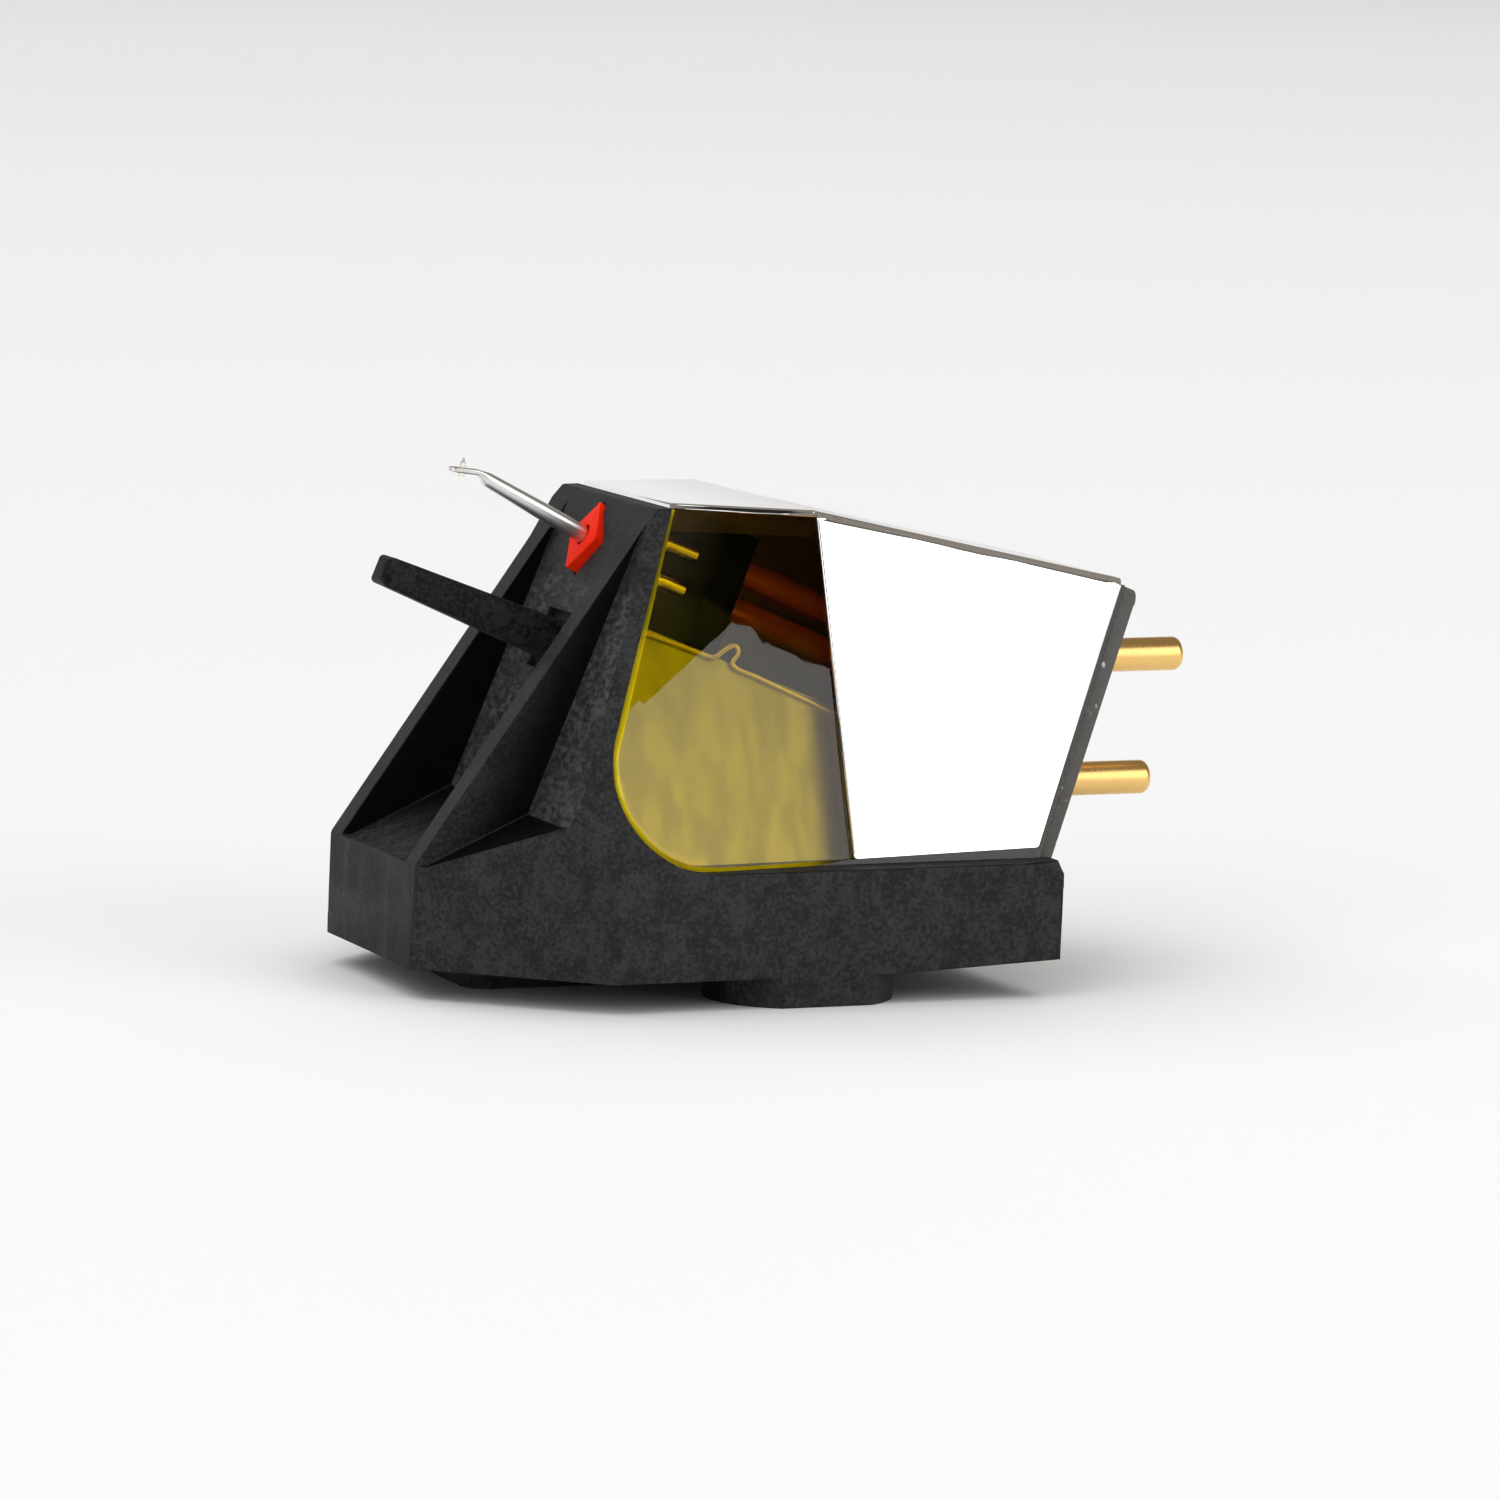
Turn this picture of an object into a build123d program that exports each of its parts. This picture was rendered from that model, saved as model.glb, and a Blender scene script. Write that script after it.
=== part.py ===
"""A moving-coil phono cartridge, lying upside down on its mounting pads.

X runs from the nose (-) to the terminal pins (+), Y is the width and Z is up, away from the headshell.
The origin is the midpoint between the two fixing holes, on the plane of the pads.
"""
import os
from math import atan2, cos, degrees, radians, sin, tan

from build123d import *

os.makedirs("parts", exist_ok=True)

# Fixing pads and threaded holes
hole_spacing = 12.7
pad_height = 0.95
pad_radius = 2.97
thread_radius = 1.05
thread_depth = 3.2
front_pad_front = -9.6
front_pad_rear = -4.0
front_pad_half = 2.8
front_pad_corner = 0.9
front_hole_x = -6.6

# Moulded body: base, nose, ribs and breast wall
base_half = 8.95
base_top = 4.25
base_rear = 7.95
rear_lean = 0.13
rear_rise = 0.25
rear_rise_start = 2.6
nose_x = -11.9
nose_half = 4.24
nose_top = 4.18
nose_lean = 0.13
nose_lip = 0.35
plan_round = 0.25
shoulder_x = -6.97
rib_thickness = 1.1
rib_outer = 4.24
body_top = 15.12
body_top_front = -4.16
body_top_half = 4.42
lintel_height = 0.42
wall_foot_x = -8.2
wall_foot_z = 5.7
wall_thickness = 0.58
ear_bevel_start = 6.3
ear_bevel_drop = 0.5
ear_bevel_width = 0.65

# Transparent cap and folded trim sheet
cap_gap = 0.04
cap_wall = 0.7
cap_corner = 3.0
cap_front_half = 4.0
cap_fold_half = 5.52
cap_foot_front_half = 9.15
cap_foot_half = 7.7
cap_fold_x = 0.68
cap_fold_foot_x = 1.25
cap_front_top = 15.06
cap_fold_top = 14.89
cap_rear_pitch = 12.65
sheet_thickness = 0.2
wing_foot_gap = 0.2
wing_foot_rise = 0.16
wing_corner = 0.15
sheet_rear_gap = 0.25
sheet_bend = 0.24
cap_bevel = 0.18

# Terminal board and contact pins
board_foot_x = 7.55
board_thickness = 0.52
board_foot_depth = 0.45
board_foot_inset = 0.24
board_top_inset = 0.0
board_corner = 0.6
board_gap = 0.05
pin_radius = 0.54
pin_spread = 2.9
pin_upper_z = 10.0
pin_lower_z = 6.05
pin_upper_end = 14.3
pin_lower_end = 13.25
pin_inside = 0.7
pin_tail_side = 0.62
pin_round = 0.2

# Damper and moving system
damper_z = 13.81
damper_side = 1.62
damper_round = 0.12
damper_proud = 0.22
damper_depth = 0.4
damper_gap = 0.07
cantilever_pitch = 29.1
cantilever_root_radius = 0.28
cantilever_tip_radius = 0.16
cantilever_taper_start = 0.4
cantilever_pinch_start = 3.75
cantilever_length = 4.3
cantilever_inside = 1.75
bore_gap = 0.06
flat_length = 0.95
flat_width = 0.42
flat_thickness = 0.12
flat_pitch = 8.0
stylus_setback = 0.45
stylus_shank = 0.16
stylus_height = 0.6
stylus_cone = 0.22
stylus_point = 0.01
former_arm = 0.95
former_bar = 0.28
former_thickness = 0.3
coil_start = 0.3
coil_length = 0.42
coil_build = 0.14

# Generator behind the breast wall, in lengths along and above its axis
yoke_half_width = 3.0
front_yoke_plate = 0.5
front_yoke_top = 0.75
front_yoke_bore = 0.75
rear_yoke_start = 3.5
rear_yoke_end = 4.6
rear_yoke_half_width = 2.3
rear_yoke_top = 1.9
magnet_gap = 0.05
magnet_side_gap = 0.4
magnet_end = 11.0
magnet_top = -2.2
screw_radius = 0.25
screw_length = 1.95
screw_spread = 1.75
screw_rise = 0.6
wire_radius = 0.07
wire_gap = 0.12
wire_length = 1.8
lead_radius = 0.42
lead_spread = 1.5
lead_upper_rise = 0.75
lead_lower_rise = -0.5
lead_straight = 4.2
fine_wire_radius = 0.09
fine_wire_spread = 4.2
fine_wire_end = 8.6
fine_wire_bead = 0.2
fine_wire_bead_length = 0.42
fine_wire_bead_at = 3.7

# Guard finger and its socket
finger_z = 10.66
finger_length = 6.1
finger_root_height = 1.35
finger_root_width = 1.5
finger_tip_height = 0.92
finger_tip_width = 1.15
finger_round = 0.25
finger_socket_gap = 0.3
finger_socket_depth = 0.33
finger_tenon = 0.9

# The lintel stands on the line of the rib fronts, and the breast wall runs up to its foot
rib_slope = (body_top - nose_top) / (body_top_front - nose_x)
lintel_z = body_top - lintel_height
lintel_x = body_top_front - lintel_height / rib_slope
wall_angle = degrees(atan2(lintel_z - wall_foot_z, lintel_x - wall_foot_x))
wall_run = 1 / tan(radians(wall_angle))
wall_normal = Vector(-sin(radians(wall_angle)), 0, cos(radians(wall_angle)))
wall_step = wall_thickness / sin(radians(wall_angle))
body_back_top = wall_foot_x + (body_top - wall_foot_z) * wall_run + wall_step
body_back_foot = body_back_top - (body_top - base_top) * wall_run
corner_tangent = cap_corner / tan(radians(wall_angle / 2))
cap_side_lean = (cap_foot_half - cap_fold_half) / (cap_fold_top - base_top)


def wall_x(z):
    """X of the breast wall's front face at a height."""
    return wall_foot_x + (z - wall_foot_z) * wall_run


def board_x(z):
    """X of the terminal board's front face at a height: it stands parallel to the breast wall."""
    return board_foot_x + (z - base_top) * wall_run


def cap_rear_z(rise, beyond=0.0):
    """Height at which the pitched rear of the cap, raised by a rise, meets the board's front face."""
    slope = tan(radians(cap_rear_pitch))
    level = cap_fold_top + rise - slope * (board_foot_x + beyond - base_top * wall_run - cap_fold_x)
    return level / (1 + slope * wall_run)


def cap_side_half(z):
    """Half-width of the cap's outer skin behind its fold at a height."""
    return cap_fold_half + (cap_fold_top - z) * cap_side_lean


def on_wall(z):
    """Plane on the breast wall's front face: x to the right seen from the nose, y up the wall, z out of it."""
    return Plane(origin=(wall_x(z), 0, z), x_dir=(0, -1, 0), z_dir=wall_normal)


damper_plane = on_wall(damper_z)
pitch = radians(cantilever_pitch)
cantilever_plane = Plane(origin=damper_plane.origin, x_dir=(0, -1, 0), z_dir=(-cos(pitch), 0, sin(pitch)))
generator_plane = Plane(origin=damper_plane.origin, x_dir=-wall_normal, z_dir=(0, -1, 0))


def at_axis(along, above, y=0.0):
    """Point given along the generator's axis, from the wall inward, and above it."""
    return generator_plane.from_local_coords(Vector(along, above, -y))


# Body: the side view, cut to the plan and to the front view
nose_front = (nose_x - nose_lean, pad_height)
nose_foot_half = nose_half - nose_lean * (base_half - nose_half) / (shoulder_x - nose_x)
rear_top = (base_rear, base_top)
rear_foot = (base_rear - rear_lean, pad_height + rear_rise)
corner_top = (
    body_back_foot + corner_tangent * cos(radians(wall_angle)),
    base_top + corner_tangent * sin(radians(wall_angle)),
)
corner_foot = (body_back_foot + corner_tangent, base_top)
half_turn = radians((180 - wall_angle) / 2)
corner_middle = (
    corner_foot[0] - cap_corner * sin(half_turn),
    base_top + cap_corner * (1 - cos(half_turn)),
)
front_cut = [
    (nose_x + nose_lip, nose_top),
    (wall_foot_x, wall_foot_z),
    (lintel_x, lintel_z),
    (nose_x - pad_height, lintel_z),
    (nose_x - pad_height, nose_top),
]
board_floor = base_top - board_foot_depth
board_heel = (
    board_x(board_floor) + board_thickness * sin(radians(wall_angle)),
    board_floor - board_thickness * cos(radians(wall_angle)),
)
board_top = cap_rear_z(0)
board_foot_half = cap_side_half(board_floor) - board_foot_inset
board_top_half = cap_side_half(board_top) - board_top_inset
finger_plane = on_wall(finger_z)
socket_width = finger_root_width + 2 * finger_socket_gap
socket_height = finger_root_height + 2 * finger_socket_gap
ear_normal = Vector(
    ear_bevel_drop / (base_rear - ear_bevel_start),
    -ear_bevel_drop / ear_bevel_width,
    1,
)

with BuildPart() as body:
    with BuildSketch(Plane.XZ):
        with BuildLine():
            Polyline(corner_foot, rear_top, rear_foot, (rear_rise_start, pad_height), nose_front)
            Polyline(
                nose_front,
                (nose_x, nose_top),
                (body_top_front, body_top),
                (body_back_top, body_top),
                corner_top,
            )
            ThreePointArc(corner_top, corner_middle, corner_foot)
        make_face()
    extrude(amount=base_half, both=True)
    with BuildSketch(Plane.XY) as plan:
        with BuildLine():
            Polyline(
                (nose_x - nose_lean, 0),
                (nose_x - nose_lean, nose_foot_half),
                (shoulder_x, base_half),
                (base_rear, base_half),
                (base_rear, 0),
            )
            mirror(about=Plane.XZ)
        make_face()
        fillet(plan.vertices().filter_by(lambda corner: abs(corner.Y) > plan_round), plan_round)
    extrude(amount=body_top, mode=Mode.INTERSECT)
    with BuildSketch(Plane.YZ):
        with BuildLine():
            Polyline((0, 0), (base_half, 0), (base_half, base_top), (body_top_half, body_top), (0, body_top))
            mirror(about=Plane.YZ)
        make_face()
    extrude(amount=base_rear - nose_x, both=True, mode=Mode.INTERSECT)

    # Channel between the ribs, and a pocket outside each rib
    with BuildSketch(Plane.XZ):
        with BuildLine():
            Polyline(*front_cut, close=True)
        make_face()
    extrude(amount=rib_outer - rib_thickness, both=True, mode=Mode.SUBTRACT)
    for side in (1, -1):
        with BuildSketch(Plane.XZ.offset(side * rib_outer)):
            with BuildLine():
                Polyline(*front_cut, close=True)
            make_face()
        extrude(amount=side * base_half, mode=Mode.SUBTRACT)

    # Pads, with their threaded holes
    with BuildSketch(Plane.XY):
        with GridLocations(1, hole_spacing, 1, 2):
            Circle(pad_radius)
        Rectangle(4 * pad_radius, 2 * base_half, mode=Mode.INTERSECT)
        with Locations(((front_pad_front + front_pad_rear) / 2, 0)):
            RectangleRounded(front_pad_rear - front_pad_front, 2 * front_pad_half, front_pad_corner)
    extrude(amount=pad_height)
    with BuildSketch(Plane.XY):
        with GridLocations(1, hole_spacing, 1, 2):
            Circle(thread_radius)
        with Locations((front_hole_x, 0)):
            Circle(thread_radius)
    extrude(amount=thread_depth, mode=Mode.SUBTRACT)

    # Seat of the terminal board between two ears
    with BuildSketch(Plane.XZ):
        with BuildLine():
            Polyline(
                (board_x(board_floor) - board_gap, board_floor),
                (board_x(base_top) - board_gap, base_top),
                (base_rear, base_top),
                (base_rear, board_heel[1]),
                board_heel,
                (board_x(board_floor), board_floor),
                close=True,
            )
        make_face()
    extrude(amount=board_foot_half + board_gap, both=True, mode=Mode.SUBTRACT)
    for side in (1, -1):
        bevel_origin = (ear_bevel_start, -side * base_half, base_top)
        bevel_normal = Vector(ear_normal.X, side * ear_normal.Y, ear_normal.Z)
        with BuildSketch(Plane(origin=bevel_origin, z_dir=bevel_normal)):
            Circle(base_rear)
        extrude(amount=ear_bevel_drop * 2, mode=Mode.SUBTRACT)

    # Openings in the breast wall for the damper and the finger
    with BuildSketch(cantilever_plane.offset(damper_side)):
        Rectangle(damper_side + 2 * damper_gap, damper_side + 2 * damper_gap, rotation=45)
    extrude(amount=-damper_side - 2 * wall_thickness, mode=Mode.SUBTRACT)
    with BuildSketch(finger_plane):
        Rectangle(socket_width, socket_height)
    extrude(amount=-finger_socket_depth, mode=Mode.SUBTRACT)
    with BuildSketch(finger_plane):
        Rectangle(finger_tenon, finger_tenon)
    extrude(amount=-2 * wall_thickness, mode=Mode.SUBTRACT)
body.part.label = "body"
export_step(body.part, "parts/body.step")


# Cap: a ruled skin that turns from the leaning body at its front to the flat sides behind the fold
cap_loft_top = cap_front_top + 2 * sheet_thickness
cap_overrun = 2.0
cap_line_foot = body_back_foot + cap_gap / sin(radians(wall_angle))
cap_front_lean = (cap_foot_front_half - cap_front_half) / (cap_front_top - base_top)
fold_run = (cap_fold_foot_x - cap_fold_x) / (cap_fold_top - base_top)


def cap_front_edge_half(z):
    """Half-width of the cap's outer skin along its front edge at a height."""
    return cap_front_half + (cap_front_top - z) * cap_front_lean


def fold_x(z):
    """X of the fold between the window and the flat side at a height."""
    return cap_fold_x + (cap_fold_top - z) * fold_run


def cap_block(growth, rise, overrun=0.0):
    """The cap's form with its sides grown outward and its top raised, run on past both ends if asked."""
    front_foot = cap_line_foot - overrun
    front_top = front_foot + (cap_loft_top - base_top) * wall_run
    rear_top_x = board_x(cap_loft_top) + overrun
    rear_z = cap_rear_z(rise, overrun)
    front_gain = (cap_front_top - cap_fold_top) / (cap_fold_x - cap_line_foot) * overrun
    foot = base_top - overrun
    with BuildPart() as block:
        with BuildSketch(Plane.XY.offset(base_top)):
            with BuildLine():
                Polyline(
                    (front_foot, 0),
                    (front_foot, cap_foot_front_half + growth),
                    (cap_fold_foot_x, cap_foot_half + growth),
                    (rear_top_x, cap_foot_half + growth),
                    (rear_top_x, 0),
                )
                mirror(about=Plane.XZ)
            make_face()
        with BuildSketch(Plane.XY.offset(cap_loft_top)):
            with BuildLine():
                Polyline(
                    (front_top, 0),
                    (front_top, cap_front_edge_half(cap_loft_top) + growth),
                    (fold_x(cap_loft_top), cap_side_half(cap_loft_top) + growth),
                    (rear_top_x, cap_side_half(cap_loft_top) + growth),
                    (rear_top_x, 0),
                )
                mirror(about=Plane.XZ)
            make_face()
        loft(ruled=True)
        with BuildSketch(Plane.XZ):
            with BuildLine():
                Polyline(
                    (front_foot, foot),
                    (front_foot + (cap_front_top + rise - foot) * wall_run, cap_front_top + rise + front_gain),
                    (cap_fold_x, cap_fold_top + rise),
                    (board_x(rear_z) + overrun, rear_z),
                    (board_x(foot) + overrun, foot),
                    close=True,
                )
            make_face()
        extrude(amount=2 * base_half, both=True, mode=Mode.INTERSECT)
    return block.part


def on_front_rim(point):
    """True on the cap's outer front edge, from its top down and round the lower corner."""
    return point.X < corner_foot[0] and abs(point.Y) > cap_front_edge_half(point.Z) - cap_wall / 2


with BuildPart() as cover:
    add(cap_block(0, 0))
    with BuildSketch(Plane.XZ):
        with BuildLine():
            Polyline(corner_top, (body_back_foot, base_top), corner_foot)
            ThreePointArc(corner_foot, corner_middle, corner_top)
        make_face()
    extrude(amount=2 * base_half, both=True, mode=Mode.SUBTRACT)
    add(cap_block(-cap_wall, -cap_wall, cap_overrun), mode=Mode.SUBTRACT)
    rim = cover.edges().filter_by(lambda edge: on_front_rim(edge.center()))
    chamfer(rim, cap_bevel)
cover.part.label = "cover"
export_step(cover.part, "parts/cover.step")

# Trim sheet: a thin plate over the whole top, folded down over the sides behind the fold
wing_foot = base_top + wing_foot_gap
wing_rear_foot = wing_foot + wing_foot_rise
sheet_rear = Plane(origin=(board_x(base_top) - sheet_rear_gap, 0, base_top), z_dir=-wall_normal)

with BuildPart() as trim_sheet:
    add(cap_block(sheet_thickness, sheet_thickness))
    with BuildSketch(Plane.XZ) as wing_side:
        with BuildLine():
            Polyline(
                (fold_x(cap_loft_top), cap_loft_top),
                (fold_x(wing_foot), wing_foot),
                (board_x(wing_rear_foot) - sheet_rear_gap, wing_rear_foot),
                (board_x(cap_loft_top) - sheet_rear_gap, cap_loft_top),
                close=True,
            )
        make_face()
        fillet(wing_side.vertices().sort_by(Axis.Y)[:2], wing_corner)
    extrude(amount=2 * base_half, both=True, mode=Mode.INTERSECT)
    add(cap_block(0, sheet_thickness))
    add(cap_block(0, 0), mode=Mode.SUBTRACT)
    split(bisect_by=sheet_rear, keep=Keep.BOTTOM)
    behind_fold = trim_sheet.edges().filter_by(lambda edge: edge.center().X > cap_fold_foot_x)
    at_sides = behind_fold.filter_by(lambda edge: abs(edge.center().Y) > cap_fold_half)
    fillet(at_sides.group_by(Axis.Z)[-1], sheet_bend)
trim_sheet.part.label = "trim_sheet"
export_step(trim_sheet.part, "parts/trim_sheet.step")


# Terminal board, parallel to the breast wall, with its foot between the ears of the base
board_plane = Plane(origin=(board_x(board_floor), 0, board_floor), x_dir=(0, 1, 0), z_dir=-wall_normal)
board_height = (board_top - board_floor) / sin(radians(wall_angle))
board_step = board_thickness / sin(radians(wall_angle))
pins = {
    "upper_left": (-pin_spread, pin_upper_z, pin_upper_end, lead_upper_rise),
    "upper_right": (pin_spread, pin_upper_z, pin_upper_end, lead_upper_rise),
    "lower_left": (-pin_spread, pin_lower_z, pin_lower_end, lead_lower_rise),
    "lower_right": (pin_spread, pin_lower_z, pin_lower_end, lead_lower_rise),
}

with BuildPart() as terminal_board:
    with BuildSketch(board_plane) as board_face:
        with BuildLine():
            Polyline((0, 0), (board_foot_half, 0), (board_top_half, board_height), (0, board_height))
            mirror(about=Plane.YZ)
        make_face()
        fillet(board_face.vertices().group_by(Axis.Y)[-1], board_corner)
    extrude(amount=board_thickness)
    for y, z, end, rise in pins.values():
        with BuildSketch(Plane.YZ.offset(board_x(z) - pin_inside)):
            with Locations((y, z)):
                Rectangle(pin_tail_side, pin_tail_side)
        extrude(amount=end, mode=Mode.SUBTRACT)
terminal_board.part.label = "terminal_board"
export_step(terminal_board.part, "parts/terminal_board.step")


def make_pin(name, y, z, end):
    """Round contact pin, eased at its outer end, with a square tail pressed through the board."""
    start = board_x(z) - pin_inside
    shoulder = board_x(z) + board_step + pin_radius * wall_run + board_gap
    with BuildPart() as pin:
        with BuildSketch(Plane.YZ.offset(shoulder)):
            with Locations((y, z)):
                Circle(pin_radius)
        extrude(amount=end - shoulder)
        chamfer(pin.edges().group_by(Axis.X)[-1], pin_round)
        with BuildSketch(Plane.YZ.offset(start)):
            with Locations((y, z)):
                Rectangle(pin_tail_side, pin_tail_side)
        extrude(amount=shoulder - start)
    pin.part.label = f"pin_{name}"
    export_step(pin.part, f"parts/pin_{name}.step")


def make_lead(name, y, z, rise):
    """Sleeved lead from the rear yoke, along the generator's axis and over to its pin, trimmed at the tail."""
    side = 1 if y > 0 else -1
    tail = Vector(board_x(z) - pin_inside, y, z)
    turn_point = at_axis(rear_yoke_end + lead_straight, rise, side * lead_spread)
    beyond = tail + (tail - turn_point).normalized() * 2 * lead_radius
    with BuildPart() as lead:
        with BuildLine() as route:
            Polyline(at_axis(rear_yoke_end, rise, side * lead_spread), turn_point, beyond)
        with BuildSketch(Plane(origin=route.line @ 0, z_dir=route.line % 0)):
            Circle(lead_radius)
        sweep(transition=Transition.RIGHT)
        split(bisect_by=Plane.YZ.offset(tail.X), keep=Keep.BOTTOM)
    lead.part.label = f"lead_{name}"
    export_step(lead.part, f"parts/lead_{name}.step")


for pin_name, (pin_y, pin_z, pin_end, pin_lead_rise) in pins.items():
    make_pin(pin_name, pin_y, pin_z, pin_end)
    make_lead(pin_name, pin_y, pin_z, pin_lead_rise)


# Moving system: the cantilever swings about a point in the middle of the damper
cantilever_side = Plane(origin=damper_plane.origin, x_dir=cantilever_plane.z_dir, z_dir=(0, -1, 0))
former_start = -cantilever_inside - former_thickness
bend_point = cantilever_plane.from_local_coords(Vector(0, 0, cantilever_length))
flat_angle = radians(flat_pitch)
flat_plane = Plane(
    origin=bend_point,
    x_dir=(-cos(flat_angle), 0, sin(flat_angle)),
    z_dir=(sin(flat_angle), 0, cos(flat_angle)),
)
stylus_at = flat_length - stylus_setback
stylus_foot = -flat_thickness / 2 - stylus_shank / 2

with BuildPart() as damper:
    with BuildSketch(cantilever_plane.offset(-damper_depth)) as damper_face:
        Rectangle(damper_side, damper_side, rotation=45)
        fillet(damper_face.vertices(), damper_round)
    extrude(amount=damper_depth + damper_proud)
    with BuildSketch(cantilever_plane):
        Circle(cantilever_root_radius + bore_gap)
    extrude(amount=cantilever_inside, both=True, mode=Mode.SUBTRACT)
damper.part.label = "damper"
export_step(damper.part, "parts/damper.step")

with BuildPart() as cantilever:
    with BuildSketch(cantilever_side):
        with BuildLine():
            Polyline(
                (-cantilever_inside, 0),
                (-cantilever_inside, cantilever_root_radius),
                (cantilever_taper_start, cantilever_root_radius),
                (cantilever_pinch_start, cantilever_tip_radius),
                (cantilever_pinch_start, 0),
                close=True,
            )
        make_face()
    revolve(axis=Axis(damper_plane.origin, cantilever_plane.z_dir))
    with BuildSketch(cantilever_plane.offset(cantilever_pinch_start)):
        Circle(cantilever_tip_radius)
    with BuildSketch(cantilever_plane.offset(cantilever_length)):
        Ellipse(flat_width / 2, flat_thickness / 2)
    loft()
    with BuildSketch(flat_plane.offset(-flat_thickness / 2)):
        with Locations(((flat_length - flat_width / 2) / 2, 0)):
            SlotOverall(flat_length + flat_width / 2, flat_width)
    extrude(amount=flat_thickness)
    with BuildSketch(flat_plane.offset(stylus_foot)):
        with Locations((stylus_at, 0)):
            Rectangle(stylus_shank, stylus_shank)
    extrude(amount=stylus_height, mode=Mode.SUBTRACT)
cantilever.part.label = "cantilever"
export_step(cantilever.part, "parts/cantilever.step")

with BuildPart() as stylus_tip:
    with BuildSketch(flat_plane.offset(stylus_foot)):
        with Locations((stylus_at, 0)):
            Rectangle(stylus_shank, stylus_shank)
    extrude(amount=stylus_height - stylus_cone)
    with BuildSketch(flat_plane.offset(stylus_foot + stylus_height - stylus_cone)):
        with Locations((stylus_at, 0)):
            Rectangle(stylus_shank, stylus_shank)
    with BuildSketch(flat_plane.offset(stylus_foot + stylus_height)):
        with Locations((stylus_at, 0)):
            Rectangle(stylus_point, stylus_point)
    loft()
stylus_tip.part.label = "stylus_tip"
export_step(stylus_tip.part, "parts/stylus_tip.step")

with BuildPart() as coil_former:
    with BuildSketch(cantilever_plane.offset(former_start)):
        for turn in (45, 135):
            Rectangle(2 * former_arm, former_bar, rotation=turn)
    extrude(amount=former_thickness)
coil_former.part.label = "coil_former"
export_step(coil_former.part, "parts/coil_former.step")

for coil_name, turn in (("coil_left", 45), ("coil_right", 135)):
    with BuildPart() as coil:
        with BuildSketch(cantilever_plane.offset(former_start - coil_build)):
            with PolarLocations(coil_start + coil_length / 2, 2, start_angle=turn):
                Rectangle(coil_length, former_bar + 2 * coil_build)
        extrude(amount=former_thickness + 2 * coil_build)
        with BuildSketch(cantilever_plane.offset(former_start)):
            Rectangle(2 * former_arm, former_bar, rotation=turn)
        extrude(amount=former_thickness, mode=Mode.SUBTRACT)
    coil.part.label = coil_name
    export_step(coil.part, f"parts/{coil_name}.step")


# Generator: two iron yokes on a magnet that stands on the base, close behind the breast wall
studs_start = wall_thickness
yoke_back = wall_thickness + front_yoke_plate
stud_places = [
    (side * screw_spread, level * screw_rise) for side in (1, -1) for level in (1, -1)
]
magnet_front = at_axis(wall_thickness + magnet_gap, magnet_top)
magnet_back = at_axis(magnet_end, magnet_top)
magnet_step = magnet_gap / sin(radians(wall_angle))

with BuildPart() as front_yoke:
    with BuildSketch(generator_plane):
        with BuildLine():
            Polyline(
                (wall_thickness, magnet_top),
                (wall_thickness, front_yoke_top),
                (yoke_back, front_yoke_top),
                (yoke_back, magnet_top),
                close=True,
            )
        make_face()
    extrude(amount=yoke_half_width, both=True)
    with BuildSketch(cantilever_plane):
        Circle(front_yoke_bore)
    extrude(amount=-2 * yoke_back, mode=Mode.SUBTRACT)
    with BuildSketch(damper_plane.offset(-studs_start)):
        with Locations(*stud_places):
            Circle(screw_radius)
    extrude(amount=-front_yoke_plate, mode=Mode.SUBTRACT)
front_yoke.part.label = "front_yoke"
export_step(front_yoke.part, "parts/front_yoke.step")

with BuildPart() as pole_studs:
    with BuildSketch(damper_plane.offset(-studs_start)):
        with Locations(*stud_places):
            Circle(screw_radius)
    extrude(amount=-front_yoke_plate - screw_length)
pole_studs.part.label = "pole_studs"
export_step(pole_studs.part, "parts/pole_studs.step")

with BuildPart() as magnet:
    with BuildSketch(Plane.XZ):
        with BuildLine():
            Polyline(
                (corner_top[0] + magnet_step, corner_top[1]),
                (magnet_front.X, magnet_front.Z),
                (magnet_back.X, magnet_back.Z),
                (magnet_back.X - (magnet_back.Z - base_top) * wall_run, base_top),
                (corner_foot[0] + magnet_step, base_top),
            )
            ThreePointArc(
                (corner_foot[0] + magnet_step, base_top),
                (corner_middle[0] + magnet_step, corner_middle[1]),
                (corner_top[0] + magnet_step, corner_top[1]),
            )
        make_face()
    extrude(amount=base_half, both=True)
    add(cap_block(-cap_wall - magnet_side_gap, -cap_wall, cap_overrun), mode=Mode.INTERSECT)
magnet.part.label = "magnet"
export_step(magnet.part, "parts/magnet.step")

with BuildPart() as rear_yoke:
    with BuildSketch(generator_plane):
        with BuildLine():
            Polyline(
                (rear_yoke_start, magnet_top),
                (rear_yoke_start, rear_yoke_top),
                (rear_yoke_end, rear_yoke_top),
                (rear_yoke_end, magnet_top),
                close=True,
            )
        make_face()
    extrude(amount=rear_yoke_half_width, both=True)
    with BuildSketch(cantilever_plane.offset(former_start - wire_gap)):
        Circle(wire_radius)
    extrude(amount=-wire_length, mode=Mode.SUBTRACT)
rear_yoke.part.label = "rear_yoke"
export_step(rear_yoke.part, "parts/rear_yoke.step")

with BuildPart() as suspension_wire:
    with BuildSketch(cantilever_plane.offset(former_start - wire_gap)):
        Circle(wire_radius)
    extrude(amount=-wire_length)
suspension_wire.part.label = "suspension_wire"
export_step(suspension_wire.part, "parts/suspension_wire.step")

wire_places = [(side * fine_wire_spread, magnet_top + fine_wire_bead) for side in (1, -1)]

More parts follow.
